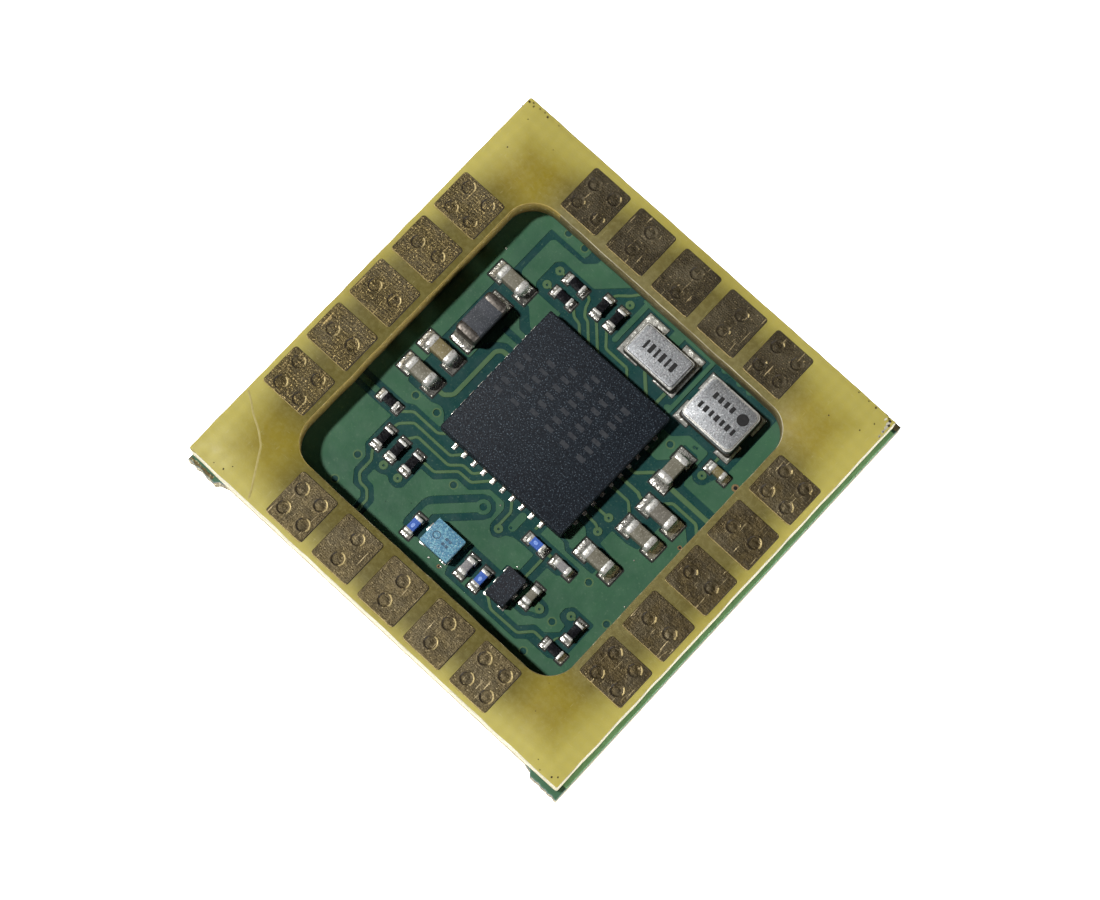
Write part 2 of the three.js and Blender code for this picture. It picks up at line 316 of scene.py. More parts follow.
class Finish:
    """A procedural material. Its texture coordinates are millimetres in the row frame."""

    def __init__(self, name, color, roughness, metallic=0.0, specular=0.5):
        self.material = bpy.data.materials.new(name)
        self.material.use_nodes = True
        self.tree = self.material.node_tree
        self.shader = self.tree.nodes["Principled BSDF"]
        self.color = color
        self.set("Base Color", color)
        self.set("Roughness", roughness)
        self.set("Metallic", metallic)
        self.set("Specular IOR Level", specular)
        self.normal = None
        coordinates = self.tree.nodes.new("ShaderNodeTexCoord")
        self.place = coordinates.outputs["Object"]
        self.place = self.scaled((1 / MM, 1 / MM, 1 / MM))

    def set(self, socket, value):
        self.shader.inputs[socket].default_value = value

    def link(self, source, target):
        self.tree.links.new(source, target)

    def scaled(self, scale, turn=0.0):
        node = self.tree.nodes.new("ShaderNodeMapping")
        node.inputs["Scale"].default_value = scale
        node.inputs["Rotation"].default_value = (0.0, 0.0, turn)
        self.link(self.place, node.inputs["Vector"])
        return node.outputs["Vector"]

    def noise(self, per_mm, detail=2.0, stretch=(1, 1, 1), turn=0.0, roughness=0.5):
        node = self.tree.nodes.new("ShaderNodeTexNoise")
        node.inputs["Scale"].default_value = per_mm
        node.inputs["Detail"].default_value = detail
        node.inputs["Roughness"].default_value = roughness
        self.link(self.scaled(stretch, turn), node.inputs["Vector"])
        return node.outputs["Fac"]

    def cells(self, per_mm):
        node = self.tree.nodes.new("ShaderNodeTexVoronoi")
        node.inputs["Scale"].default_value = per_mm
        self.link(self.scaled((1, 1, 1)), node.inputs["Vector"])
        return node.outputs["Distance"]

    def waves(self, pitch, direction, distortion=0.0, detail_per_mm=1.0):
        """Even ridges across a direction, a pitch apart."""
        node = self.tree.nodes.new("ShaderNodeTexWave")
        node.bands_direction = direction
        node.inputs["Scale"].default_value = 0.314 / pitch
        node.inputs["Distortion"].default_value = distortion
        node.inputs["Detail Scale"].default_value = detail_per_mm
        self.link(self.place, node.inputs["Vector"])
        return node.outputs["Fac"]

    def axis(self, index):
        node = self.tree.nodes.new("ShaderNodeSeparateXYZ")
        self.link(self.place, node.inputs["Vector"])
        return node.outputs[index]

    def math(self, operation, first, second=0.0):
        node = self.tree.nodes.new("ShaderNodeMath")
        node.operation = operation
        for socket, value in zip(node.inputs, (first, second)):
            if isinstance(value, (int, float)):
                socket.default_value = value
            else:
                self.link(value, socket)
        return node.outputs["Value"]

    def span(self, value, low, high, start=0.0, end=1.0):
        """Maps low..high to start..end, held at both ends."""
        node = self.tree.nodes.new("ShaderNodeMapRange")
        self.link(value, node.inputs["Value"])
        for socket, number in zip(node.inputs[1:5], (low, high, start, end)):
            socket.default_value = number
        return node.outputs["Result"]

    def mix(self, factor, first, second):
        node = self.tree.nodes.new("ShaderNodeMix")
        node.data_type = "RGBA"
        self.link(factor, node.inputs["Factor"])
        for socket, value in zip((node.inputs[6], node.inputs[7]), (first, second)):
            if isinstance(value, tuple):
                socket.default_value = value
            else:
                self.link(value, socket)
        return node.outputs[2]

    def tint(self, factor, color):
        """Mixes the colour so far towards another where factor is 1."""
        self.color = self.mix(factor, self.color, color)
        return self

    def bump(self, height, depth, strength=1.0):
        """Adds relief of a depth in millimetres."""
        node = self.tree.nodes.new("ShaderNodeBump")
        node.inputs["Distance"].default_value = depth * MM
        node.inputs["Strength"].default_value = strength
        self.link(height, node.inputs["Height"])
        if self.normal is not None:
            self.link(self.normal, node.inputs["Normal"])
        self.normal = node.outputs["Normal"]
        return self

    def rough(self, source):
        self.link(source, self.shader.inputs["Roughness"])
        return self

    def done(self):
        if not isinstance(self.color, tuple):
            self.link(self.color, self.shader.inputs["Base Color"])
        if self.normal is not None:
            self.link(self.normal, self.shader.inputs["Normal"])
        return self.material


def solder_mask(name, color, deep, roughness=0.36):
    """Green lacquer with slow tone changes, pores and a faint orange-peel surface."""
    finish = Finish(name, color, roughness, specular=0.45)
    finish.tint(finish.span(finish.noise(0.9, 3), 0.35, 0.7), deep)
    finish.tint(finish.span(finish.noise(14, 2), 0.62, 0.8, 0.0, 0.35), srgb(120, 150, 120))
    finish.tint(finish.span(finish.cells(1.6), 0.02, 0.06, 0.55, 0.0), srgb(22, 44, 36))
    finish.rough(finish.span(finish.noise(3, 2), 0.3, 0.7, roughness - 0.06, roughness + 0.08))
    finish.bump(finish.noise(9, 3), 0.006, 0.6)
    return finish.done()


def bare_laminate(name, color, edge_glow_color, shade_color):
    """Glass-epoxy without copper: cloudy, with a painted glow towards the outer edges and painted shade
    between the lands.
    """
    finish = Finish(name, color, 0.5, specular=0.25)
    x = finish.math("ABSOLUTE", finish.math("SUBTRACT", finish.axis(0), ARRAY_X))
    y = finish.math("ABSOLUTE", finish.math("SUBTRACT", finish.axis(1), ARRAY_Y))
    far = finish.math("MAXIMUM", x, y)
    near = finish.math("MINIMUM", x, y)
    cloud = finish.noise(0.55, 3)
    finish.tint(finish.span(cloud, 0.35, 0.7, 0.0, 0.2), edge_glow_color)
    # Painted shade: the laminate between the lands is darkened.
    beside = finish.span(near, 4.3, 5.4, 1.0, 0.0)
    inner = finish.span(far, 7.2, 7.5, 1.0, 0.25)
    finish.tint(finish.math("MULTIPLY", finish.math("MULTIPLY", beside, inner), 0.85), shade_color)
    # Painted glow: the laminate grows paler towards its outer edges, as where light comes through it.
    outward = finish.math("ADD", far, finish.math("MULTIPLY", near, 0.12))
    finish.tint(finish.span(outward, 6.95, 7.95, 0.0, 0.95), edge_glow_color)
    weave = finish.math("ADD", finish.waves(0.42, "X", 1.2), finish.waves(0.42, "Y", 1.2))
    finish.tint(finish.span(weave, 0.3, 1.9, 0.1, 0.0), srgb(120, 105, 50))
    finish.tint(finish.span(finish.noise(7, 4, roughness=0.7), 0.42, 0.66, 0.0, 0.15), srgb(186, 180, 122))
    finish.tint(finish.span(finish.noise(26, 2, (1, 0.12, 1)), 0.68, 0.8, 0.0, 0.3), srgb(205, 198, 140))
    finish.tint(finish.span(finish.noise(26, 2, (0.12, 1, 1)), 0.68, 0.8, 0.0, 0.3), srgb(205, 198, 140))
    finish.tint(finish.span(finish.cells(1.1), 0.015, 0.035, 0.8, 0.0), srgb(70, 50, 22))
    finish.rough(finish.span(finish.noise(2.5, 3), 0.3, 0.7, 0.42, 0.58))
    finish.bump(weave, 0.003, 0.5)
    finish.bump(finish.noise(16, 3), 0.006, 0.5)
    finish.set("Subsurface Weight", 0.12)
    finish.set("Subsurface Radius", (1.0, 0.92, 0.6))
    finish.set("Subsurface Scale", 0.35 * MM)
    return finish.done()


def laminate_edge(name, color, layer_color):
    """A cut side of the board: fine glass layers along the plane, with torn ends."""
    finish = Finish(name, color, 0.65)
    layers = finish.noise(3, 3, (0.4, 0.4, 14))
    finish.tint(finish.span(layers, 0.42, 0.6), layer_color)
    finish.tint(finish.span(finish.noise(9, 3, (0.35, 0.35, 1)), 0.58, 0.7, 0.0, 0.5), srgb(214, 208, 178))
    finish.bump(layers, 0.02, 0.8)
    finish.bump(finish.noise(22, 3), 0.012, 0.7)
    return finish.done()


def glowing_wall(name):
    """The window's wall under the lit land row: light comes through it, most near its top edge."""
    finish = Finish(name, srgb(98, 78, 26), 0.6)
    finish.tint(finish.span(finish.axis(2), FRAME_LOW.z, FRAME_TOP - 0.1), srgb(180, 156, 80))
    fibres = finish.noise(3, 3, (0.4, 0.4, 14))
    finish.tint(finish.span(fibres, 0.45, 0.65, 0.0, 0.4), srgb(150, 124, 56))
    finish.tint(finish.span(finish.noise(8, 3), 0.56, 0.7, 0.0, 0.3), srgb(230, 224, 190))
    finish.bump(fibres, 0.02, 0.8)
    return finish.done()


def torn_laminate(name):
    """Broken glass fibres: brown resin with white ends."""
    finish = Finish(name, srgb(104, 90, 52), 0.75)
    fibres = finish.noise(9, 4, (1, 1, 0.4), roughness=0.7)
    finish.tint(finish.span(fibres, 0.54, 0.6), srgb(206, 198, 160))
    finish.tint(finish.span(finish.noise(7, 4, roughness=0.7), 0.52, 0.6), srgb(40, 32, 18))
    finish.bump(fibres, 0.05, 0.9)
    return finish.done()


def land_plating(name, turned, base, deep, glint, glints, rugged, woven):
    """Tarnished plated copper, pressed with a fine cloth pattern, scratched and stained.

    glints is how much of the face shines in the lighter glint colour, rugged how coarse its grain is,
    woven how clearly the cloth shows.
    """
    finish = Finish(name, base, 0.42, 0.65)
    pitch = 0.1
    warp = finish.waves(pitch, "Y" if turned else "X", 2.4, 2.0)
    weft = finish.waves(pitch * 0.7, "X" if turned else "Y", 2.4, 2.0)
    cloth = finish.math("MULTIPLY", warp, weft)
    grain = finish.noise(16, 4, roughness=0.75)
    stain = finish.noise(2.2, 4, roughness=0.65)
    finish.tint(finish.span(cloth, 0.1, 0.6, 0.6 * woven, 0.0), deep)
    finish.tint(finish.span(stain, 0.4, 0.6, 0.0, 0.75), deep)
    finish.tint(finish.span(grain, 0.38, 0.52, 0.88 * rugged, 0.0), srgb(46, 39, 25))
    finish.tint(finish.span(finish.noise(1.1, 3), 0.45, 0.65, 0.0, 0.4), srgb(118, 108, 84))
    # Painted glints: spots in the lighter glint colour.
    shine = finish.noise(19, 4, roughness=0.75)
    finish.tint(finish.span(shine, 0.66 - glints, 0.74 - glints, 0.0, 0.9), glint)
    # Real scratches, drawn in the glint colour as a painted highlight.
    for angle, amount in ((0.7, 0.7), (2.2, 0.5)):
        scratches = finish.noise(14, 2, (1, 0.09, 1), angle)
        finish.tint(finish.span(scratches, 0.68, 0.74, 0.0, amount), glint)
    finish.rough(finish.span(finish.noise(11, 3), 0.3, 0.7, 0.34, 0.62))
    finish.bump(cloth, 0.016 * woven, 0.9)
    finish.bump(grain, 0.026 * rugged, 1.0)
    finish.bump(finish.noise(6, 3), 0.03, 0.7)
    finish.bump(stain, 0.03, 0.7)
    return finish.done()


def bright_metal(name, color, roughness, lumps=0.012, dark=srgb(105, 96, 84), metallic=1.0):
    """Tin and solder: bright and lumpy, with darker spots."""
    finish = Finish(name, color, roughness, metallic)
    finish.tint(finish.span(finish.noise(16, 3), 0.5, 0.66, 0.0, 0.65), dark)
    finish.rough(finish.span(finish.noise(9, 2), 0.3, 0.7, roughness - 0.08, roughness + 0.14))
    finish.bump(finish.noise(11, 2), lumps, 0.8)
    finish.bump(finish.noise(40, 2), 0.004, 0.5)
    return finish.done()


def brushed_lid(name, color):
    """A plated lid with fine lines along Y."""
    finish = Finish(name, color, 0.55, 0.85)
    lines = finish.noise(38, 3, (1, 0.06, 1))
    finish.tint(finish.span(lines, 0.45, 0.7, 0.0, 0.6), srgb(222, 220, 220))
    finish.tint(finish.span(finish.noise(10, 3), 0.5, 0.7, 0.0, 0.35), srgb(150, 138, 150))
    finish.rough(finish.span(lines, 0.3, 0.7, 0.5, 0.64))
    finish.tint(finish.span(finish.noise(21, 3), 0.4, 0.47, 0.6, 0.0), srgb(112, 110, 112))
    finish.tint(finish.span(finish.noise(20, 3), 0.56, 0.63, 0.0, 0.8), srgb(236, 238, 240))
    finish.bump(lines, 0.004, 0.7)
    finish.bump(finish.noise(24, 3), 0.006, 0.8)
    return finish.done()


def mould_compound(name, color):
    """Dark resin with a fine grain and small glints."""
    finish = Finish(name, color, 0.6, specular=0.28)
    finish.tint(finish.span(finish.noise(0.8, 3), 0.4, 0.7, 0.0, 0.5), srgb(13, 17, 25))
    finish.tint(finish.span(finish.noise(15, 4, roughness=0.7), 0.46, 0.62, 0.0, 0.5), srgb(40, 52, 62))
    finish.tint(finish.span(finish.noise(23, 3), 0.59, 0.66, 0.0, 0.8), srgb(100, 113, 124))
    finish.rough(finish.span(finish.noise(14, 2), 0.3, 0.7, 0.52, 0.72))
    finish.bump(finish.noise(26, 3), 0.012, 0.7)
    return finish.done()


def fired_ceramic(name, color, second, roughness=0.42, speck=srgb(225, 220, 205)):
    """Fired ceramic: mottled, with light grains and a soft gloss."""
    finish = Finish(name, color, roughness)
    finish.tint(finish.span(finish.noise(3.5, 3), 0.38, 0.68), second)
    finish.tint(finish.span(finish.noise(22, 3), 0.56, 0.7, 0.0, 0.4), speck)
    finish.rough(finish.span(finish.noise(10, 2), 0.3, 0.7, roughness - 0.07, roughness + 0.1))
    finish.bump(finish.noise(18, 3), 0.008, 0.6)
    return finish.done()


def speckled_resin(name):
    """Light blue resin full of white grains."""
    finish = Finish(name, srgb(86, 142, 174), 0.55)
    finish.tint(finish.span(finish.noise(15, 3), 0.48, 0.6), srgb(126, 184, 202))
    finish.tint(finish.span(finish.noise(24, 2), 0.6, 0.7, 0.0, 0.85), srgb(214, 236, 242))
    finish.tint(finish.span(finish.noise(19, 2), 0.56, 0.64, 0.0, 0.7), srgb(50, 98, 134))
    finish.bump(finish.noise(24, 3), 0.02, 0.8)
    return finish.done()


def blue_glaze(name):
    """A blue coil body, paler in the middle where its winding shows through the glaze."""
    finish = Finish(name, srgb(72, 108, 192), 0.24, specular=0.6)
    finish.tint(finish.span(finish.noise(6, 3), 0.4, 0.65, 0.0, 0.6), srgb(88, 126, 220))
    finish.tint(finish.span(finish.waves(0.07, "X", 0.6), 0.6, 1.0, 0.0, 0.15), srgb(150, 175, 240))
    finish.bump(finish.noise(12, 3), 0.008, 0.6)
    return finish.done()


def flat_tone(name, color, roughness, second, per_mm=20):
    """A plain dark or pale layer with a fine grain."""
    finish = Finish(name, color, roughness)
    finish.tint(finish.span(finish.noise(per_mm, 3), 0.42, 0.66), second)
    finish.bump(finish.noise(per_mm * 1.5, 3), 0.005, 0.6)
    return finish.done()


MASK_POUR = solder_mask("mask_over_copper", srgb(65, 107, 80), srgb(57, 97, 74))
MASK_BARE = solder_mask("mask_over_laminate", srgb(32, 74, 70), srgb(27, 66, 66), 0.3)
MASK_TRACE = solder_mask("mask_over_tracks", srgb(88, 118, 80), srgb(80, 110, 76))
MASK_GAP = flat_tone("mask_opening", srgb(14, 24, 20), 0.5, srgb(22, 30, 22))
LAMINATE = bare_laminate("bare_laminate", srgb(148, 130, 36), srgb(197, 185, 96), srgb(100, 92, 50))
LAMINATE_RIM = laminate_edge("laminate_cut_edge", srgb(196, 190, 162), srgb(148, 140, 108))
# Pale frayed fibres; also the painted highlight on the frame's outer top edge along the +X and -Y sides.
FRAYED_RIM_AND_HIGHLIGHT = laminate_edge("laminate_frayed_rim_and_highlight", srgb(226, 223, 208), srgb(176, 170, 146))
BOARD_EDGE = laminate_edge("board_cut_edge", srgb(158, 146, 106), srgb(112, 101, 68))
# The wall finish is also the painted shade on the frame's outer top edge along the unlit -X and +Y sides.
WALL = laminate_edge("laminate_wall", srgb(134, 120, 76), srgb(112, 98, 62))
WALL_GLOW = glowing_wall("laminate_wall_glow")
# A lighter copy of the green mask for the strip beyond the frame's +X side: painted light on a strip that
# lies in the frame's shade.
MASK_STRIP_PAINTED_LIGHT = solder_mask("mask_outer_strip_painted_light", srgb(150, 204, 150), srgb(132, 188, 134))
TORN = torn_laminate("torn_fibres")
LANDS_BY_ROW = [
    land_plating("land_plating_a", False, srgb(128, 113, 78), srgb(78, 67, 44),
                 srgb(236, 214, 164), 0.05, 0.8, 0.25),
    land_plating("land_plating_b", True, srgb(98, 84, 52), srgb(52, 43, 27),
                 srgb(228, 206, 156), 0.03, 0.6, 0.2),
    land_plating("land_plating_c", False, srgb(80, 70, 47), srgb(46, 39, 26),
                 srgb(214, 192, 144), 0.05, 0.9, 0.3),
    land_plating("land_plating_d", True, srgb(132, 116, 73), srgb(74, 64, 38),
                 srgb(246, 216, 146), 0.09, 1.0, 0.9),
]
# Painted shade for land faces turned from the light.
LAND_SHADE = flat_tone("land_ring_shade", srgb(62, 52, 36), 0.55, srgb(46, 38, 26), 14)
# Painted highlight for land faces turned to the light.
LAND_HIGHLIGHT = bright_metal("land_painted_highlight", srgb(196, 176, 122), 0.5, 0.006, srgb(120, 102, 66), 0.4)
SOLDER = bright_metal("bright_solder", srgb(232, 229, 220), 0.27, 0.026, srgb(56, 48, 36), 0.8)
TIN = bright_metal("tin_plating", srgb(236, 235, 230), 0.36, 0.012, srgb(140, 132, 118), 0.5)
PAD_TIN = bright_metal("pad_tin", srgb(220, 219, 212), 0.38, 0.024, srgb(140, 135, 124), 0.6)
DULL_END = bright_metal("dull_plating", srgb(122, 116, 110), 0.5, 0.012, srgb(88, 82, 76))
LEAD_COPPER = bright_metal("lead_ends", srgb(128, 104, 84), 0.4, 0.006, srgb(60, 46, 36))
LID_METAL = brushed_lid("lid_brushed", srgb(176, 180, 184))
MOULD = mould_compound("mould_compound", srgb(11, 18, 28))
AMPLIFIER_MOULD = mould_compound("amplifier_mould", srgb(34, 35, 42))
PACKAGE = fired_ceramic("package_ceramic", srgb(52, 46, 38), srgb(38, 34, 28), 0.5, srgb(110, 100, 84))
CAP_TAN = fired_ceramic("capacitor_tan", srgb(134, 122, 84), srgb(120, 110, 78))
CAP_GREY = fired_ceramic("capacitor_grey", srgb(126, 123, 108), srgb(112, 107, 92))
CAP_PINK = fired_ceramic("capacitor_warm_grey", srgb(122, 118, 108), srgb(108, 103, 94))
CAP_OLIVE = fired_ceramic("capacitor_olive", srgb(130, 120, 80), srgb(112, 101, 66))
CAP_PALE = fired_ceramic("capacitor_pale", srgb(148, 146, 148), srgb(132, 130, 132))
FERRITE = fired_ceramic("ferrite_grey", srgb(64, 67, 74), srgb(54, 58, 64), 0.55, srgb(160, 162, 168))
BLUE = blue_glaze("blue_glaze")
BLUE_PALE = flat_tone("blue_glaze_window", srgb(168, 196, 255), 0.3, srgb(120, 158, 244))
RESISTOR = fired_ceramic("resistor_glass", srgb(20, 20, 24), srgb(13, 13, 16), 0.26, srgb(58, 60, 70))
RESIN_BLUE = speckled_resin("speckled_resin")
INK = flat_tone("black_ink", srgb(18, 18, 20), 0.6, srgb(32, 30, 32))
LASER = flat_tone("laser_mark", srgb(50, 54, 60), 0.6, srgb(34, 38, 46), 12)
BLUE_MARK = flat_tone("filter_mark", srgb(58, 82, 104), 0.6, srgb(88, 120, 146))
SPECK = flat_tone("dark_specks", srgb(34, 24, 12), 0.8, srgb(70, 50, 24))
PALE_LINE = flat_tone("pale_hairline", srgb(188, 174, 104), 0.5, srgb(174, 158, 84), 5)
BARE_COPPER = bright_metal("bare_copper", srgb(150, 124, 88), 0.5, 0.006, srgb(92, 74, 52), 0.5)
# Painted shade: near-black discs that stand for the dark inside of holes.
HOLE_SHADE = flat_tone("hole_painted_shade", srgb(10, 10, 10), 0.8, srgb(20, 16, 14))


# ---------- board art, in millimetres from the middle of the land array ----------

DOT = 0.3
VIA = 0.2


def dark(*points):
    return [("bare", soften(list(points)))]


def light(*points):
    return [("pour", soften(list(points)))]


def track(*points, width=0.1):
    return [("trace", ribbon(width, points))]


def strip(*points, width):
    return [("pour", ribbon(width, points))]


def channel(*points, width):
    return [("bare", ribbon(width, points))]


def vias(*places):
    """Covered plated holes: a low ring round a shallow pit."""
    items = []
    for x, y in places:
        items += [("trace", circle(x, y, VIA + 0.1)), ("bare", circle(x, y, VIA))]
    return items


def dots(*places):
    """Round test spots with a pin-prick in the middle."""
    items = []
    for x, y in places:
        items += [("trace", circle(x, y, DOT)), ("bare", circle(x + 0.01, y - 0.01, 0.07, 8))]
    return items


def art_upper_left():
    items = dark((-4.37, 3.4), (-4.37, 5.2), (-2.99, 5.2), (-2.93, 5.3), (-2.95, 5.8), (-2.54, 5.8),
                 (-2.56, 5.37), (-2.87, 5.06), (-4.05, 5.04), (-4.15, 4.92), (-4.15, 3.62), (-4.0, 3.4))
    items += dark((-3.38, 4.68), (-2.08, 4.68), (-1.0, 5.76), (-0.62, 5.76), (-0.62, 5.4), (2.16, 5.4),
                  (2.16, 3.0), (-2.3, 3.0), (-2.3, 3.4), (-3.28, 3.4), (-3.45, 3.5), (-3.55, 3.62),
                  (-3.55, 4.5))
    items += light((-3.3, 3.4), (-2.28, 3.4), (-2.42, 3.27), (-2.6, 3.25), (-2.55, 2.4), (-2.72, 2.4),
                   (-3.12, 2.8), (-3.3, 2.9))
    items += light((-0.7, 5.42), (2.35, 5.42), (2.35, 5.8), (-0.7, 5.8))
    items += light((0.65, 5.1), (1.08, 5.1), (1.08, 5.5), (0.65, 5.5))
    items += strip((-0.525, 5.7), (-0.525, 3.94), width=0.19)
    items += strip((2.22, 5.7), (2.22, 3.46), width=0.15) + strip((2.1, 3.45), (2.22, 3.5), width=0.2)
    items += track((-2.15, 4.4), (-1.97, 4.36), (-1.87, 4.05), (-1.7, 3.83), (-1.54, 3.8), (-1.0, 3.25))
    items += track((-2.15, 3.8), (-1.93, 3.6), (-1.68, 3.56), (-1.38, 3.25))
    items += track((-1.42, 4.02), (-1.3, 3.94), (-0.62, 3.25))
    items += track((-0.93, 4.0), (-0.53, 3.53), (0.37, 3.52), (0.6, 3.25))
    items += track((-1.5, 4.85), (-1.44, 5.0), (-1.1, 5.3), (-0.82, 5.66))
    items += track((0.86, 3.8), (1.42, 3.25), width=0.12) + track((1.77, 3.8), (1.77, 3.2), width=0.12)
    items += track((-3.2, 4.39), (-2.95, 4.39), width=0.08) + track((-3.2, 3.8), (-2.95, 3.8), width=0.08)
    items += dots((-3.26, 4.39), (-3.26, 3.8), (-0.92, 5.07)) + vias((-3.88, 5.46), (-3.19, 5.45))
    return items


def art_left():
    items = dark((-4.5, 2.9), (-3.2, 2.9), (-2.7, 2.42), (-2.4, 2.42), (-2.4, -1.62), (-2.6, -1.6),
                 (-2.78, -1.38), (-2.95, -1.28), (-3.12, -1.29), (-3.32, -1.38), (-4.3, -1.38),
                 (-4.37, -1.28), (-4.37, -0.3), (-4.5, 0.1))
    items += light((-3.62, 0.44), (-3.42, 0.44), (-3.42, 1.1), (-3.2, 1.34), (-3.0, 1.48), (-2.87, 1.57),
                   (-2.4, 1.57), (-2.4, 1.76), (-3.3, 1.76), (-3.3, 1.97), (-2.4, 1.97), (-2.4, 2.16),
                   (-2.9, 2.16), (-3.2, 2.48), (-3.62, 2.48))
    items += light((-4.3, 0.42), (-3.42, 0.42), (-3.42, 0.56), (-4.3, 0.56))
    items += track((-2.4, 1.3), (-2.82, 1.3), (-2.97, 1.14), (-2.97, -0.74), (-3.2, -0.97), (-3.5, -0.97),
                   width=0.16)
    return items + vias((-3.82, -1.56), (-2.97, -1.52))


def art_lower_left():
    items = dark((-5.9, -1.97), (-3.87, -1.94), (-3.62, -1.79), (-2.6, -1.79), (-2.3, -1.5), (1.95, -1.5),
                 (1.95, -2.72), (1.45, -2.75), (1.2, -2.87), (1.1, -3.08), (0.92, -3.17), (0.72, -3.08),
                 (0.62, -2.92), (0.62, -2.33), (0.48, -2.15), (-0.12, -2.15), (-0.6, -2.62),
                 (-1.1, -2.6), (-1.62, -3.12), (-2.13, -3.12), (-2.13, -3.95), (-2.28, -4.1),
                 (-2.55, -4.1), (-2.68, -4.0), (-2.78, -4.0), (-2.95, -4.1), (-3.17, -4.1),
                 (-3.17, -4.42), (-3.07, -4.5), (-2.83, -4.5), (-2.47, -4.85), (-2.45, -5.8),
                 (-2.85, -5.8), (-2.87, -5.02), (-3.0, -4.88), (-3.33, -4.88), (-3.62, -4.52),
                 (-3.62, -4.0), (-3.93, -3.7), (-3.93, -2.53), (-5.9, -2.53))
    items += strip((-5.8, -2.25), (-4.7, -2.25), width=0.2)
    items += track((-3.85, -2.28), (-3.5, -1.97), (-2.5, -1.97), (-2.2, -1.7))
    items += track((-3.63, -2.75), (-3.6, -2.56), (-3.25, -2.22), (-1.74, -2.22), (-1.46, -1.9))
    items += track((-3.07, -2.75), (-2.88, -2.47), (-1.58, -2.48), (-1.25, -2.17), (-0.85, -2.17),
                   (-0.6, -1.88))
    items += track((-2.3, -2.93), (-1.75, -2.93), (-1.22, -2.41), (-0.7, -2.4), (-0.24, -1.9))
    items += track((-3.63, -3.55), (-3.62, -3.72), (-3.42, -3.96), (-3.42, -4.5), (-3.2, -4.71),
                   (-2.9, -4.72), (-2.67, -4.96), (-2.67, -5.8))
    items += track((-3.04, -3.5), (-3.04, -3.85), width=0.08)
    items += track((-2.44, -3.5), (-2.44, -3.85), width=0.08)
    items += dots((-3.04, -3.83), (-2.44, -3.83))
    return items + vias((-3.85, -4.13), (-3.84, -5.16), (-1.04, -2.82))


def art_antenna_line():
    """The wide line from its plated hole to the filter, with a clear channel on both sides."""
    items = channel((0.1, -2.7), (-1.02, -3.82), (-1.02, -4.38), width=0.8)
    items += dark((-1.42, -3.8), (-0.6, -3.8), (-0.6, -4.76), (-1.36, -4.76), (-1.42, -4.6))
    items += [("bare", circle(0.1, -2.7, 0.76, 28))]
    items += strip((0.1, -2.7), (-1.05, -3.86), (-1.05, -4.25), width=0.33)
    items += [("pour", circle(0.1, -2.7, 0.5, 24))]
    items += track((0.55, -1.9), (0.83, -2.24), (0.82, -2.85)) + dots((0.9, -2.88))
    items += strip((1.19, -2.1), (1.19, -2.56), width=0.28) + track((1.73, -1.8), (1.74, -2.35))
    items += dark((-0.75, -4.1), (0.7, -4.1), (0.7, -4.72), (-0.75, -4.72))
    return items + [("bare", circle(0.1, -2.7, 0.22)), ("bare", circle(1.16, -2.6, 0.08, 8))]


def art_lower_right():
    items = dark((1.7, -2.13), (3.6, -2.13), (3.62, -2.5), (3.3, -2.62), (3.18, -2.74), (2.8, -2.75),
                 (2.8, -3.6), (2.25, -3.6), (2.25, -2.73), (1.4, -2.73))
    items += dark((4.25, -3.08), (5.07, -3.08), (5.07, -4.25), (5.1, -4.6), (4.8, -4.7), (4.7, -4.77),
                  (3.85, -4.77), (3.57, -5.02), (0.65, -5.02), (0.56, -4.8), (0.6, -3.78), (1.86, -3.78),
                  (1.86, -3.5), (2.75, -3.5), (2.75, -4.66), (3.38, -4.66), (3.74, -4.28), (4.1, -4.28),
                  (4.45, -3.95), (4.43, -3.68), (4.2, -3.65), (4.07, -3.55), (4.07, -3.3))
    items += channel((3.2, -3.62), (3.6, -3.64), (3.73, -3.76), (3.73, -3.93), (3.58, -4.08), (3.42, -4.12),
                     (3.24, -4.28), (2.8, -4.28), width=0.13)
    items += light((1.08, -4.9), (1.46, -4.9), (1.42, -4.48), (1.3, -4.54), (1.1, -4.74))
    items += light((0.7, -3.93), (0.9, -3.93), (0.9, -4.2), (0.74, -4.12))
    items += track((2.52, -2.45), (2.52, -3.7)) + track((2.35, -2.43), (2.9, -2.43), width=0.12)
    items += track((4.4, -4.47), (3.85, -4.46), (3.5, -4.84), (2.42, -4.86), (2.02, -4.58))
    items += track((4.7, -3.95), (4.48, -4.16), (4.46, -4.4), width=0.08)
    items += track((4.37, -3.35), (4.75, -3.36), width=0.1)
    items += dots((4.36, -3.35), (3.5, -3.84))
    return items + vias((4.05, -2.22), (5.32, -2.8), (4.05, -3.87), (4.02, -5.13))


def art_right():
    items = dark((2.2, 2.0), (5.9, 1.97), (5.9, 0.3), (5.05, 1.07), (5.05, 0.52), (4.47, 0.52),
                 (4.47, -0.45), (4.1, -0.55), (3.48, -0.55), (3.48, -1.1), (3.95, -1.15),
                 (3.95, -1.96), (2.86, -1.99), (2.66, -1.82), (2.2, -1.78))
    items += light((2.2, -1.02), (2.83, -1.03), (3.03, -1.22), (3.03, -1.78), (2.9, -1.84),
                   (2.76, -1.72), (2.2, -1.7))
    items += track((3.9, 1.64), (5.8, 1.64), width=0.17)
    items += track((4.1, 1.15), (4.28, 1.34), (5.24, 1.34), (5.6, 0.98), width=0.11)
    items += track((2.4, 1.25), (2.78, 1.25), (3.2, 1.67), (3.5, 1.67), width=0.12)
    items += track((2.4, 0.86), (3.3, 0.86), (3.39, 0.79), (3.7, 0.79), width=0.12)
    items += track((2.4, 0.46), (3.24, 0.46), (3.6, 0.1))
    items += track((2.4, -0.34), (3.1, -0.34)) + track((2.4, -0.72), (3.0, -0.74), (3.15, -0.85))
    return items + dots((3.14, -0.33), (3.18, -0.87))


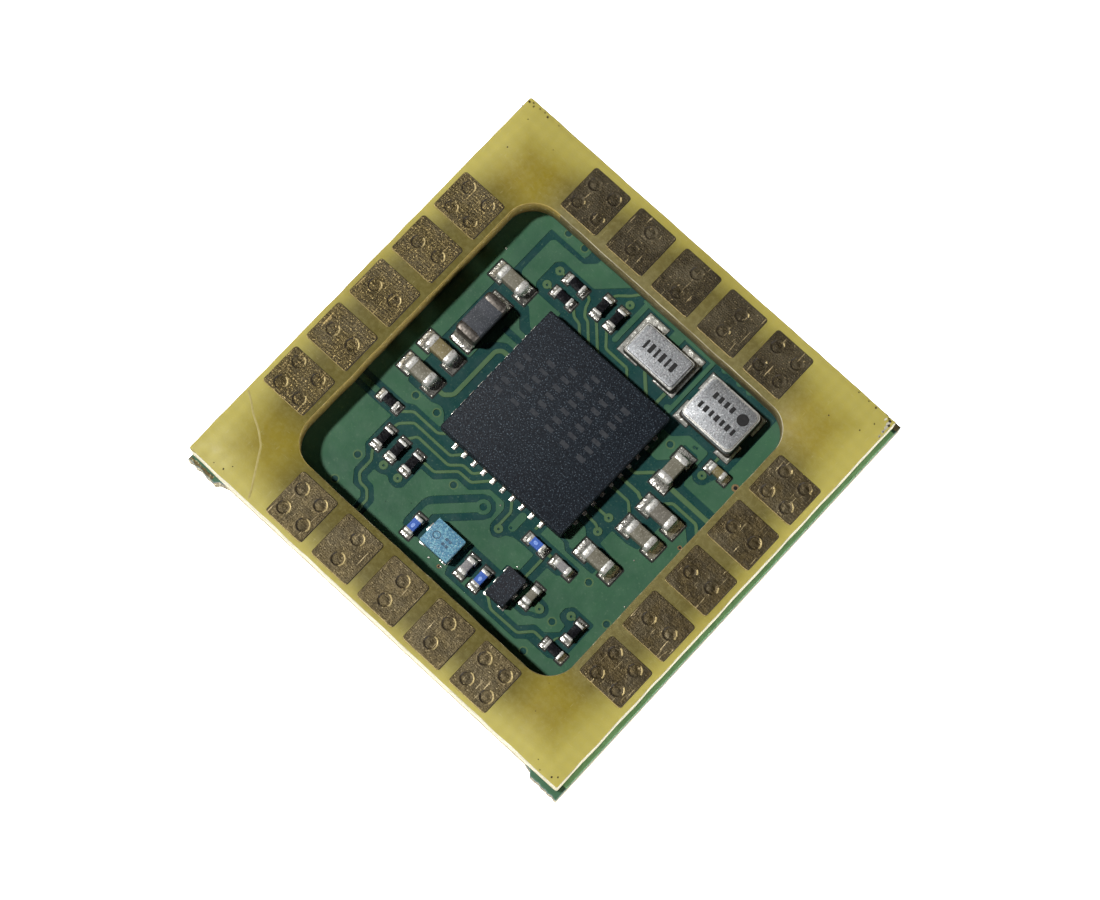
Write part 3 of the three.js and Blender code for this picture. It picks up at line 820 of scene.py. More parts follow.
def art_upper_right():
    items = dark((2.3, 5.5), (4.87, 5.5), (4.87, 3.22), (5.12, 3.2), (5.12, 2.8), (4.72, 2.78),
                 (4.66, 2.65), (4.6, 2.42), (4.45, 2.3), (4.24, 2.3), (4.1, 2.42), (4.07, 2.1),
                 (4.2, 1.9), (2.2, 1.9), (2.2, 3.3), (2.3, 3.34))
    items += light((2.2, 2.0), (3.0, 2.0), (3.3, 2.3), (3.3, 2.95), (3.86, 2.95), (3.86, 2.55),
                   (4.03, 2.55), (4.03, 3.2), (3.97, 3.27), (3.22, 3.27), (2.82, 2.87), (2.2, 2.87))
    items += [("pour", circle(x, 5.56, 0.26)) for x in (2.64, 3.26, 3.66)]
    items += track((4.35, 3.5), (4.35, 3.05)) + dots((4.34, 2.6))
    items += [("bare", circle(3.58, 3.09, 0.1, 7)), ("bare", circle(3.66, 3.12, 0.08, 5))]
    return items + vias((2.97, 2.65))


def torn_tab(whole):
    """The broken outer half of the tab next to the first land row: bare fibres with a ragged border."""
    left = min(x for x, _ in whole)
    low = min(y for _, y in whole)
    border = []
    for i in range(12):
        ragged = noise.noise(Vector((i * 0.8, 3.0, 1.0)))
        border.append((left + 0.09 * i, low + 0.13 + 0.05 * ragged))
    return [("torn", [(left, low), (left + 1.0, low)] + border[::-1])]


def board_art():
    whole = [(x - ARRAY_X, y - ARRAY_Y) for x, y in inset(rough_board_outline(), 0.02)]
    items = [("pour", whole)] + art_upper_left() + art_left() + art_lower_left() + art_antenna_line()
    items += art_right() + art_lower_right() + art_upper_right()
    right = max(x for x, _ in whole)
    top = max(y for _, y in whole)
    # The strip along the +X edge takes the lighter mask copy: painted light.
    items += [("rim", box_outline(7.3, -7.3, right, 7.6))]
    for x0, x1 in ((min(x for x, _ in whole), -6.5), (6.6, right)):
        items.append(("edge", box_outline(x0, 7.7, x1, top)))
    return items + torn_tab(whole)


# ---------- small chips ----------

class Chip:
    """How one kind of small chip looks: its metal ends, its pads and its solder."""

    def __init__(self, end, reach, pad_width, climb, corner, body, metal=TIN, slot="capacitor_body"):
        self.end = end                 # length of a metal end
        self.reach = reach             # pad length that shows beyond the chip
        self.pad_width = pad_width
        self.climb = climb             # share of the chip's height that the solder climbs
        self.corner = corner           # edge rounding
        self.body = body
        self.metal = metal
        self.slot = slot


def large_capacitor(body):
    return Chip(0.22, 0.25, 0.62, 0.6, 0.085, body)


def small_capacitor(body):
    return Chip(0.15, 0.13, 0.35, 0.6, 0.05, body)


SMALL_COIL = Chip(0.11, 0.13, 0.35, 0.62, 0.035, BLUE, slot="inductor_blue")
SMALL_RESISTOR = Chip(0.085, 0.14, 0.35, 0.7, 0.012, RESISTOR, slot="resistor_body")

CHIPS = {
    "capacitor_01": large_capacitor(CAP_GREY),
    "capacitor_02": large_capacitor(CAP_TAN),
    "capacitor_03": large_capacitor(CAP_GREY),
    "capacitor_04": large_capacitor(CAP_GREY),
    "capacitor_05": large_capacitor(CAP_PINK),
    "capacitor_06": large_capacitor(CAP_GREY),
    "capacitor_07": large_capacitor(CAP_GREY),
    "capacitor_08": small_capacitor(CAP_OLIVE),
    "capacitor_09": small_capacitor(CAP_PALE),
    "capacitor_10": small_capacitor(CAP_GREY),
    "capacitor_11": small_capacitor(CAP_PALE),
    "inductor_01": Chip(0.3, 0.22, 0.75, 0.42, 0.13, FERRITE, DULL_END, "inductor_grey"),
}
CHIPS.update({f"inductor_{i:02d}": SMALL_COIL for i in (2, 3, 4)})
CHIPS.update({f"resistor_{i:02d}": SMALL_RESISTOR for i in range(1, 11)})


def chip_measures(node):
    """Length, width, height, middle and turn of a small chip."""
    low, high = corners(node)
    size = high - low
    turned = size.y > size.x
    length, width = (size.y, size.x) if turned else (size.x, size.y)
    return length, width, size.z, (low + high) / 2, math.pi / 2 if turned else 0.0


def pad_outlines():
    """Openings in the mask round every small chip's pads, in array millimetres."""
    margin = 0.05
    items = []
    for node, look in CHIPS.items():
        length, _, _, centre, turn = chip_measures(node)
        inner = length / 2 - look.end - margin
        outer = length / 2 + look.reach + margin
        half = look.pad_width / 2 + margin
        for side in (-1, 1):
            outline = box_outline(side * inner, -half, side * outer, half)
            if turn:
                outline = [(-y, x) for x, y in outline]
            shifted = [(x + centre.x - ARRAY_X, y + centre.y - ARRAY_Y) for x, y in outline]
            items.append(("gap", soften(shifted, 0.05)))
    return items


def tube_ring(x, half, low, high, corner, steps=3):
    """A rounded rectangle across X."""
    outline = round_rectangle(-half, low, half, high, corner, steps)
    return [(x, y, z) for y, z in outline]


def add_solder(shape, end, reach, pad_half, top_half, height, finish, seed):
    """A concave fillet from the pad's outer edge up to the chip's end at x = end."""
    steps, across, skirt = 9, 8, 0.035
    rings = []
    for i in range(steps + 1):
        t = i / steps
        x = end - 0.06 + (reach + 0.06) * t
        lift = skirt + (height - skirt) * (1 - t) ** 2.3
        half = top_half + (pad_half - top_half) * smooth(2.2 * t)
        if t > 0.9:
            lift *= 0.75
        ring = [(x, -half, 0.002)]
        for j in range(across + 1):
            u = 2 * j / across - 1
            edge = 1 - 0.3 * abs(u) ** 3
            wobble = 1 + 0.22 * noise.noise(Vector((x * 7 + seed, u * 2.1, seed)))
            ring.append((x, u * half * 0.985, max(lift * edge * wobble, 0.012)))
        ring.append((x, half, 0.002))
        rings.append(ring)
    shape.loft(rings, (finish,), (finish, finish))


def add_dome(shape, x, y, foot, diameter, height, sides, finish):
    """A low solder dome standing on the level foot."""
    rings = []
    for level in range(4):
        angle = math.pi / 2 * level / 4
        ring = circle(x, y, diameter * math.cos(angle), sides)
        rings.append([(px, py, foot + height * math.sin(angle)) for px, py in ring])
    shape.loft(rings, (finish,), (finish, finish))


def make_chip(node, look):
    """One small chip: body, two rounded metal ends, and its soldered pads."""
    length, width, height, centre, turn = chip_measures(node)
    proud = 0.012
    half = width / 2
    seed = centre.x * 3.7 + centre.y * 1.3
    body = Shape()
    body.place(centre.x, centre.y, BOARD_TOP, turn)
    inner = length / 2 - look.end
    ring = [tube_ring(x, half - proud, proud, height - proud, look.corner * 0.6)
            for x in (-inner - proud, -inner * 0.5, 0.0, inner * 0.5, inner + proud)]
    body.loft(ring, (0,), (0, 0))
    solder = Shape()
    for side in (1, -1):
        for shape in (body, solder):
            shape.place(centre.x, centre.y, BOARD_TOP, turn)
            if side < 0:
                shape.mirror()
        corner = look.corner
        profile = [(inner - 0.01, proud * 0.9), (inner + 0.012, 0.0), (length / 2 - corner, 0.0),
                   (length / 2 - corner * 0.35, corner * 0.22), (length / 2, corner * 0.8)]
        body.loft([tube_ring(x, half - inset, 0.012 + inset, height - inset, max(corner - inset * 0.4, 0.01))
                   for x, inset in profile], (1,), (1, 1))
        pad_half = look.pad_width / 2
        add_solder(solder, length / 2, look.reach, pad_half, half * 1.02, height * look.climb, 0, seed + side)
        foot = [(inner, pad_half), (length / 2 + look.reach * 0.2, pad_half)]
        solder.loft([[(x, -w, 0.002), (x, -w + 0.02, 0.03), (x, w - 0.02, 0.03), (x, w, 0.002)]
                     for x, w in foot], (0,), (0, 0))
        for bead in (-1, 1):
            reach = length / 2 + look.reach - 0.03
            radius = 0.034 + 0.008 * math.sin(seed * 9 + bead)
            add_dome(solder, reach, bead * (pad_half - 0.035), 0.004, 2 * radius, radius * 0.9, 8, 0)
    body.build(node + "_body", look.slot, [look.body, look.metal], (node,))
    solder.build(node + "_solder", "solder", [SOLDER])


def make_blue_window(node):
    """The pale patch on a coil's top where the winding shows."""
    _, _, height, centre, turn = chip_measures(node)
    patch = Shape()
    patch.place(centre.x, centre.y, BOARD_TOP, turn)
    outline = [(x * 0.08 - 0.03, y * 0.06) for x, y in circle(0, 0, 2, 14)]
    patch.slab(outline, [(height - 0.02, 0.0), (height - 0.009, 0.002), (height - 0.008, 0.012)])
    patch.build(node + "_window", "inductor_blue", [BLUE_PALE])


# ---------- larger packages ----------

def add_marks(shape, bars, top, finish, rise=0.005):
    """Plain bars, given as (x, y, length, width) about the shape's place."""
    for x, y, length, width in bars:
        outline = box_outline(x - length / 2, y - width / 2, x + length / 2, y + width / 2)
        levels = [(top - 0.004, 0.0), (top + rise, 0.0)]
        shape.slab(soften(outline, 0.02), levels, (finish,), (finish, finish))


MARK_ROWS = [                  # across the chip, where a row starts, and its bars' lengths
    (1.35, -0.45, (0.26, 0.22, 0.22, 0.24, 0.22, 0.14, 0.26)),
    (0.68, -0.45, (0.24, 0.22, 0.24, 0.22, 0.24, 0.22, 0.22)),
    (0.0, -0.4, (0.22, 0.26, 0.22, 0.22, 0.24, 0.22, 0.22)),
    (-0.67, -0.35, (0.24, 0.24, 0.2, 0.24, 0.22, 0.24)),
    (-1.33, -0.5, (0.22, 0.14, 0.24, 0.22, 0.2, 0.24)),
    (-2.0, -0.55, (0.22, 0.24, 0.14, 0.26, 0.22)),
]
# Solder at the leads of the +X, +Y, -X and -Y sides: how far it reaches, and half its width.
LEAD_REACH = (0.07, 0.045, 0.07, 0.16)
LEAD_HALF = (0.08, 0.08, 0.12, 0.07)
LEADS_PER_SIDE = 10
LEAD_PITCH = 0.4


def make_receiver():
    centre = middle("receiver_mould")
    half = (CHIP_HIGH.x - CHIP_LOW.x) / 2
    body = Shape()
    body.place(centre.x, centre.y)
    outline = round_rectangle(-half, -half, half, half, 0.05, 3)
    low, top = CHIP_LOW.z, CHIP_HIGH.z
    body.slab(outline, [(low, 0.02), (low + 0.015, 0.0), (low + 0.2, 0.0), (top - 0.035, 0.006),
                        (top - 0.01, 0.02), (top, 0.045)])
    bars = []
    for row, first, lengths in MARK_ROWS:
        along = first
        for length in lengths:
            bars.append((row, along + length / 2, 0.3, length * 0.62))
            along += length + 0.12
    add_marks(body, bars, top, 1, 0.002)
    body.build("receiver_body", "chip_mould", [MOULD, LASER], ("receiver_mould",))

    leads, solder = Shape(), Shape()
    for side in range(4):
        turn = side * math.pi / 2
        for i in range(LEADS_PER_SIDE):
            along = (i - 4.5) * LEAD_PITCH
            for shape in (leads, solder):
                shape.place(centre.x, centre.y, BOARD_TOP, turn)
                shape.matrix = shape.matrix @ Matrix.Translation((half, along, 0))
            leads.loft([tube_ring(x, 0.09, 0.012, 0.16, 0.03) for x in (-0.3, 0.004, 0.008)], (0,), (0, 0))
            reach = LEAD_REACH[side]
            half_width = LEAD_HALF[side]
            rise = 0.08 + 0.15 * reach
            add_solder(solder, 0.02, reach, half_width, half_width, rise, 0, along * 5 + side)
    leads.build("receiver_leads", "solder", [LEAD_COPPER])
    solder.build("receiver_solder", "solder", [SOLDER])


def grid_rim(columns, rows):
    """The numbers of a grid's border points, anticlockwise."""
    width = columns + 1
    rim = [i for i in range(columns)] + [j * width + columns for j in range(rows)]
    rim += [rows * width + i for i in range(columns, 0, -1)] + [j * width for j in range(rows, 0, -1)]
    return rim


def solder_patch(shape, x0, y0, x1, y1, height, seed, finish=0):
    """A lumpy solder layer over a pad, with rounded sides."""
    columns = max(3, int((x1 - x0) / 0.05))
    rows = max(3, int((y1 - y0) / 0.05))
    grid = []
    for j in range(rows + 1):
        for i in range(columns + 1):
            x = x0 + (x1 - x0) * i / columns
            y = y0 + (y1 - y0) * j / rows
            edge = min(x - x0, x1 - x, y - y0, y1 - y)
            lump = 1 + 0.45 * noise.noise(Vector((x * 6, y * 6, seed)))
            grid.append((x, y, BOARD_TOP + 0.004 + height * smooth(edge / 0.06 + 0.2) * lump))
    top = shape.points(grid)
    bottom = shape.points([(x, y, BOARD_TOP) for x, y, _ in grid])
    width = columns + 1
    for j in range(rows):
        for i in range(columns):
            a = j * width + i
            quad = [a, a + 1, a + width + 1, a + width]
            shape.face([top[k] for k in quad], finish)
            shape.face([bottom[k] for k in quad[::-1]], finish)
    rim = grid_rim(columns, rows)
    for a, b in zip(rim, rim[1:] + rim[:1]):
        shape.face([bottom[a], bottom[b], top[b], top[a]], finish)


def array_patch(shape, x0, y0, x1, y1, height, seed):
    solder_patch(shape, x0 + ARRAY_X, y0 + ARRAY_Y, x1 + ARRAY_X, y1 + ARRAY_Y, height, seed)


def make_package_pads(name, metal, patches):
    """Soldered pads of one package. patches are (x0, y0, x1, y1, height, seed)."""
    pads = Shape()
    for patch in patches:
        array_patch(pads, *patch)
    pads.build(name, "solder", [metal])


CRYSTAL_PADS = [(-0.28, 3.77, 0.52, 5.32), (1.22, 3.77, 2.02, 5.32)]
OSCILLATOR_PADS = [(x, y, x + 0.54, y + 0.68) for x in (2.42, 4.12) for y in (3.38, 4.56)]
FILTER_PADS = [(-0.64, -4.86, -0.32, -4.5), (0.2, -4.86, 0.52, -4.5), (-0.7, -4.4, -0.45, -4.1)]
AMPLIFIER_PADS = [(x, y, x + 0.24, y + 0.22) for x in (1.9, 2.5) for y in (-4.66, -4.2, -3.74)]


def make_crystal():
    low, high = corners("crystal_base")
    lid_low, lid_high = corners("crystal_lid")
    base = Shape()
    outline = round_rectangle(low.x, low.y, high.x, high.y, 0.07)
    levels = [(low.z + 0.02, 0.01), (low.z + 0.06, 0.0), (high.z - 0.05, 0.0), (high.z - 0.04, 0.015),
              (high.z, 0.03)]
    base.slab(outline, levels, (0, 0, 0, 1), (0, 1))
    base.build("crystal_case", "package_ceramic", [PACKAGE, TIN], ("crystal_base",))
    lid = Shape()
    rim = round_rectangle(lid_low.x, lid_low.y, lid_high.x, lid_high.y, 0.09)
    top = lid_high.z
    lid.slab(rim, [(lid_low.z, 0.0), (top - 0.025, 0.0), (top - 0.006, 0.012), (top, 0.035)])
    centre = middle("crystal_lid")
    lid.place(centre.x, centre.y)
    bars = [(-0.55 + 0.22 * i, 0.0, 0.14 if i % 2 else 0.09, 0.33) for i in range(6)]
    add_marks(lid, bars, top, 1)
    lid.build("crystal_cover", "package_lid", [LID_METAL, INK], ("crystal_lid",))
    patches = [(*pad, 0.05, seed) for seed, pad in enumerate(CRYSTAL_PADS)]
    make_package_pads("crystal_solder", PAD_TIN, patches)


def make_oscillator():
    low, high = corners("oscillator_base")
    lid_low, lid_high = corners("oscillator_lid")
    base = Shape()
    outline = round_rectangle(low.x, low.y, high.x, high.y, 0.1)
    base.slab(outline, [(low.z + 0.02, 0.01), (low.z + 0.05, 0.0), (high.z - 0.03, 0.0), (high.z, 0.01)])
    base.build("oscillator_case", "package_ceramic", [PACKAGE], ("oscillator_base",))
    lid = Shape()
    rim = round_rectangle(lid_low.x, lid_low.y, lid_high.x, lid_high.y, 0.2, 6)
    top = lid_high.z
    lid.slab(rim, [(lid_low.z, 0.0), (top - 0.07, 0.0), (top - 0.05, 0.01), (top - 0.045, 0.045),
                   (top - 0.03, 0.05), (top - 0.012, 0.055), (top, 0.075)], (0, 0, 1, 1, 1), (0, 0))
    centre = middle("oscillator_lid")
    lid.place(centre.x, centre.y)
    bars = [(-0.52 + 0.23 * i, 0.32, 0.13, 0.22) for i in range(4)]
    bars += [(-0.68 + 0.22 * i, -0.2, 0.14 if i % 2 else 0.11, 0.22) for i in range(7)]
    add_marks(lid, bars, top, 2)
    lid.slab(circle(0.61, 0.3, 0.39, 28), [(top - 0.004, 0.0), (top + 0.006, 0.0)], (2,), (2, 2))
    lid.build("oscillator_cover", "package_lid", [LID_METAL, TIN, INK], ("oscillator_lid",))
    patches = [(*pad, 0.07, seed + 4) for seed, pad in enumerate(OSCILLATOR_PADS)]
    side = high.x - ARRAY_X
    patches += [(side - 0.01, y0, side + 0.05, y1, 0.2, y0) for y0, y1 in ((3.55, 4.0), (4.55, 5.0))]
    make_package_pads("oscillator_solder", PAD_TIN, patches)


def make_filter():
    low, _ = corners("filter_substrate")
    cap_low, high = corners("filter_cap")
    base = Shape()
    outline = round_rectangle(low.x, low.y, high.x, high.y, 0.02, 2)
    base.slab(outline, [(low.z + 0.01, 0.0), (cap_low.z, 0.0)])
    base.build("filter_base", "package_ceramic", [PACKAGE], ("filter_substrate",))
    top = high.z
    cap = Shape()
    cap.slab(outline, [(cap_low.z, 0.0), (top - 0.02, 0.0), (top - 0.006, 0.006), (top, 0.02)])
    centre = middle("filter_cap")
    cap.place(centre.x, centre.y)
    ring_outer, ring_inner = circle(-0.25, 0.0, 0.26, 20), circle(-0.25, 0.0, 0.2, 20)
    outer = [[(x, y, z) for x, y in ring_outer] for z in (top - 0.002, top + 0.004)]
    inner = [[(x, y, z) for x, y in ring_inner] for z in (top + 0.004, top - 0.002)]
    cap.loft(outer + inner + outer[:1], (1,), None)
    squares = [(x, y, 0.1, 0.09) for y in (0.1, -0.08) for x in (0.08, 0.22)]
    add_marks(cap, squares, top, 1)
    cap.build("filter_cover", "filter_cap", [RESIN_BLUE, BLUE_MARK], ("filter_cap",))
    patches = [(*pad, 0.03, seed + 20) for seed, pad in enumerate(FILTER_PADS)]
    make_package_pads("filter_solder", SOLDER, patches)


def make_amplifier():
    low, high = corners("amplifier")
    body = Shape()
    outline = round_rectangle(low.x, low.y, high.x, high.y, 0.02, 2)
    body.slab(outline, [(low.z + 0.01, 0.0), (high.z - 0.02, 0.0), (high.z, 0.018)])
    body.build("amplifier_body", "chip_mould", [AMPLIFIER_MOULD], ("amplifier",))
    patches = [(*pad, 0.035, seed + 30) for seed, pad in enumerate(AMPLIFIER_PADS)]
    make_package_pads("amplifier_solder", SOLDER, patches)


# ---------- lands ----------

LAND_THICKNESS = 0.05
HOLE_SPREAD = 0.4              # half the distance between two plated holes
LAND_CELL = 0.024              # mesh size of a land's face


def land_height(x, y, half_x, half_y, dimples, seed):
    """Height of a land's face above the frame: soft edges, shallow round dimples and slow waves."""
    edge = min(half_x - abs(x), half_y - abs(y))
    height = LAND_THICKNESS * smooth(edge / 0.035 + 0.25)
    for cx, cy in dimples:
        radius = math.hypot(x - cx, y - cy)
        dish = 0.032 * (1 - smooth((radius - 0.165) / 0.045))
        rim = 0.012 * math.exp(-((radius - 0.228) / 0.026) ** 2)
        plug = 0.016 * (1 - smooth((radius - 0.02) / 0.12))
        height += rim - dish + plug
    wave = noise.noise(Vector((x * 2.2, y * 2.2, seed)))
    fine = noise.noise(Vector((x * 13, y * 13, seed + 9)))
    return height + (0.004 * wave + 0.0025 * fine) * smooth(edge / 0.08) - 0.001


def round_off(x, y, half_x, half_y, radius=0.11):
    """Draws a rectangle's corner regions in so that they end on an arc."""
    past_x = abs(x) - (half_x - radius)
    past_y = abs(y) - (half_y - radius)
    if past_x <= 0 or past_y <= 0:
        return x, y
    shrink = max(past_x, past_y) / math.hypot(past_x, past_y)
    return (math.copysign(half_x - radius + past_x * shrink, x),
            math.copysign(half_y - radius + past_y * shrink, y))


RING_DULLNESS = (0.3, 1.1, 1.5, 0.8)     # by row of lands: how little the rings' lit sides shine


def ring_light_and_shade(x, y, dimples, seed):
    """Which finish a spot takes: 1 for a painted highlight on the side of a ring's dish that faces the light,
    2 for painted shade on its other side, 0 elsewhere.
    """
    ring_noise = noise.noise(Vector((x * 5, y * 5, seed * 1.7)))
    for cx, cy in dimples:
        radius = math.hypot(x - cx, y - cy)
        if 0.185 < radius < 0.245:
            facing = ((x - cx) + (y - cy) * 0.7) / (radius * 1.22)
            if facing > 0.2 - 0.6 * (ring_noise - RING_DULLNESS[seed // 5]) and radius < 0.235:
                return 1
            if facing < -0.2 + 0.4 * ring_noise and radius < 0.225:
                return 2
    return 0


def make_land(index, node):
    low, high = corners(node)
    centre = (low + high) / 2
    half_x = (high.x - low.x) / 2
    half_y = (high.y - low.y) / 2
    row, place = divmod(index, 5)
    spread = HOLE_SPREAD
    if place in (0, 4):
        dimples = [(sx * spread, sy * spread) for sx in (-1, 1) for sy in (-1, 1)]
    elif row % 2 == 0:
        dimples = [(0.02, spread), (-0.02, -spread)]
    else:
        dimples = [(spread, 0.02), (-spread, -0.02)]
    rng = random.Random(index + 11)
    dimples = [(x + rng.uniform(-0.03, 0.03), y + rng.uniform(-0.03, 0.03)) for x, y in dimples]
    columns = round(2 * half_x / LAND_CELL)
    rows = round(2 * half_y / LAND_CELL)
    shape = Shape()
    shape.place(centre.x, centre.y)
    grid = []
    for j in range(rows + 1):
        for i in range(columns + 1):
            x = half_x * (2 * i / columns - 1)
            y = half_y * (2 * j / rows - 1)
            height = land_height(x, y, half_x, half_y, dimples, index * 3.1)
            grid.append((*round_off(x, y, half_x, half_y), FRAME_TOP + height))
    top = shape.points(grid)
    width = columns + 1
    for j in range(rows):
        for i in range(columns):
            a = j * width + i
            # A land's -Y edge row takes the painted highlight, its +X and +Y edge rows the painted shade.
            if j == 0:
                finish = 1
            elif i == columns - 1 or j == rows - 1:
                finish = 2
            else:
                finish = ring_light_and_shade(grid[a][0], grid[a][1], dimples, index)
            shape.face([top[a], top[a + 1], top[a + width + 1], top[a + width]], finish)
    rim = grid_rim(columns, rows)
    foot = shape.points([(grid[k][0], grid[k][1], FRAME_TOP - 0.002) for k in rim])
    for k in range(len(rim)):
        n = (k + 1) % len(rim)
        shape.face([foot[k], foot[n], top[rim[n]], top[rim[k]]])
    shape.face(foot[::-1])
    joint = round_rectangle(-half_x, -half_y, half_x, half_y, 0.05, 2)
    shape.slab(joint, [(BOARD_TOP + MASK_RISE + 0.002, 0.02), (BOARD_TOP + 0.035, 0.0), (FRAME_LOW.z, 0.0)])
    shape.build(f"{node}_plate", "land_metal", [LANDS_BY_ROW[row], LAND_HIGHLIGHT, LAND_SHADE], (node,), 35)


# ---------- boards ----------

def wander(points, amount, seed, per_mm=1.3):
    """Shifts points sideways by a slow noise."""
    result = []
    for x, y in points:
        dx = noise.noise(Vector((x * per_mm, y * per_mm, seed)))
        dy = noise.noise(Vector((x * per_mm, y * per_mm, seed + 5)))
        result.append((x + amount * dx, y + amount * dy))
    return result


def divide(points, step):
    """Adds points so that no side is longer than step."""
    result = []
    for a, b in zip(points, points[1:] + points[:1]):
        count = max(1, round(math.dist(a, b) / step))
        for i in range(count):
            t = i / count
            result.append((a[0] + (b[0] - a[0]) * t, a[1] + (b[1] - a[1]) * t))
    return result


def inset(points, amount):
    """Moves an anticlockwise outline's points inwards."""
    count = len(points)
    result = []
    for i, point in enumerate(points):
        before, after = Vector(points[i - 1]), Vector(points[(i + 1) % count])
        along = (after - before).normalized()
        result.append((point[0] - along.y * amount, point[1] + along.x * amount))
    return result


def add_plate(shape, outer, inner, levels, top_finish, side_finishes, bottom_finish):
    """A plate with one opening or none. levels are (height, edge inset), from the underside up."""
    def ring(points, height, amount):
        return [(x, y, height) for x, y in inset(points, amount)]

    for outline, sign in ((outer, 1), (inner, -1)):
        if outline:
            loops = [shape.points(ring(outline, z, sign * amount)) for z, amount in levels]
            for row, (low, high) in enumerate(zip(loops, loops[1:])):
                for i in range(len(low)):
                    j = (i + 1) % len(low)
                    shape.face([low[i], low[j], high[j], high[i]], side_finishes[row])
    for (height, amount), finish in ((levels[0], bottom_finish), (levels[-1], top_finish)):
        items = [("plate", inset(outer, amount))]
        if inner:
            items.append(("opening", inset(inner, -amount)))
        points, triangles, kinds = draw(items)
        spots = shape.points([(p.x, p.y, height) for p in points])
        for triangle, kind in zip(triangles, kinds):
            if kind == "plate":
                shape.face([spots[i] for i in triangle], finish)


def make_window_frame():
    outer = round_rectangle(FRAME_LOW.x - 0.02, FRAME_LOW.y - 0.02, FRAME_HIGH.x + 0.02, FRAME_HIGH.y + 0.02,
                            0.08, 3)
    outer = wander(divide(outer, 0.16), 0.02, 2.0)
    worn = []
    for x, y in outer:
        near = 1 - smooth(math.hypot(x - FRAME_HIGH.x, y - FRAME_HIGH.y) / 0.5)
        bite = 0.035 * near * (0.5 + 1.4 * noise.noise(Vector((x * 9, y * 9, 4.0))))
        worn.append((x - bite, y - bite))
    window = round_rectangle(ARRAY_X - WINDOW_HALF, ARRAY_Y - WINDOW_HALF, ARRAY_X + WINDOW_HALF,
                             ARRAY_Y + WINDOW_HALF, WINDOW_RADIUS, 14)
    window = wander(divide(window, 0.2), 0.02, 7.0)
    low, top = FRAME_LOW.z, FRAME_TOP
    levels = [(low, 0.02), (low + 0.03, 0.0), (top - 0.025, 0.0), (top - 0.01, 0.006), (top, 0.022)]
    shape = Shape()
    add_plate(shape, worn, window, levels, 0, (2, 2, 1, 1), 0)
    # Outer top edges on the unlit -X and +Y sides take the darker wall finish as painted shade, those on the
    # +X and -Y sides the pale frayed finish, partly painted highlight; walls on the shaded -X side of the
    # window take the painted glow.
    for index, face in enumerate(shape.faces):
        outside = all(max(abs(shape.verts[i].x), abs(shape.verts[i].y)) > WINDOW_HALF + 1 for i in face)
        shaded = shape.verts[face[0]].x < ARRAY_X - WINDOW_HALF + 1.2 and not outside
        spot = shape.verts[face[0]]
        unlit = spot.x < FRAME_LOW.x + 0.1 or spot.y > FRAME_HIGH.y - 0.1
        if outside and shape.finishes[index] in (1, 2):
            rim = 2 if unlit else 4
            shape.finishes[index] = rim if shape.finishes[index] == 1 else 1
        elif shape.finishes[index] in (1, 2) and shaded:
            shape.finishes[index] = 3
        elif shape.finishes[index] == 1 and spot.y < ARRAY_Y + WINDOW_HALF - 1:
            shape.finishes[index] = 2
    materials = [LAMINATE, LAMINATE_RIM, WALL, WALL_GLOW, FRAYED_RIM_AND_HIGHLIGHT]
    shape.build("window_frame_body", "bare_laminate", materials, ("window_frame",), weld=True)


SPECKS = [(-7.5, 7.55, 0.08), (-7.38, 7.6, 0.06), (-7.3, 7.52, 0.06), (-7.1, 7.6, 0.05), (-6.75, 7.56, 0.07),
          (-7.15, 7.1, 0.04), (-7.0, 6.0, 0.05), (-6.9, 7.61, 0.05), (-6.3, 7.6, 0.04), (-7.6, 7.3, 0.04),
          (7.5, 7.58, 0.1), (7.56, 7.46, 0.09), (7.42, 7.62, 0.06), (7.2, 7.2, 0.05), (7.0, 6.75, 0.05),
          (6.0, 6.45, 0.05), (6.9, 7.61, 0.07), (6.6, 7.62, 0.05), (6.2, 7.62, 0.05), (7.56, 7.2, 0.06),
          (7.58, 7.0, 0.04), (7.44, -7.3, 0.06), (7.3, -7.42, 0.06), (6.65, -7.3, 0.04), (6.9, -7.5, 0.04),
          (-6.35, -7.35, 0.06), (-6.7, -7.4, 0.04), (-6.2, -7.1, 0.04), (5.6, -6.3, 0.03), (-5.9, 6.9, 0.03)]
FLAKES = [(7.51, 7.5, 0.1), (7.54, 7.36, 0.09), (7.55, 7.22, 0.08), (7.56, 7.02, 0.07), (7.36, 7.55, 0.06)]
HAIRLINE = [(-7.48, -5.08), (-7.2, -5.25), (-6.9, -5.48), (-6.43, -5.73), (-6.02, -6.04), (-5.78, -6.43),
            (-5.54, -6.82), (-5.27, -7.25), (-5.17, -7.46)]


def make_frame_marks():
    """Dark specks, pale flakes at the worn corner, and a hairline, all lying on the frame's face."""
    shape = Shape()
    for number, (x, y, size) in enumerate(SPECKS + FLAKES):
        flake = number >= len(SPECKS)
        stretch = 1.8 if flake else 1.0
        outline = []
        for i, (px, py) in enumerate(circle(0, 0, size, 9)):
            reach = 1.1 + 0.7 * noise.noise(Vector((number * 3.3, i * 1.7, 1.0)))
            outline.append((x + ARRAY_X + px * reach, y + ARRAY_Y + py * reach * stretch))
        finish = 1 if flake else 0
        levels = [(FRAME_TOP - 0.004, 0.0), (FRAME_TOP + 0.003, size * 0.1)]
        shape.slab(outline, levels, (finish,), (finish, finish))
    shape.build("frame_specks", "bare_laminate", [SPECK, FRAYED_RIM_AND_HIGHLIGHT])
    line = Shape()
    points = [(x + ARRAY_X, y + ARRAY_Y) for x, y in HAIRLINE]
    drawing = draw([("line", ribbon(0.075, points))])
    raise_areas(line, drawing, {"line": 0.003}, {"line": 0}, FRAME_TOP - 0.001)
    line.build("frame_hairline", "bare_laminate", [PALE_LINE])


TAB_REACH = 0.22               # how far the four tabs stand out


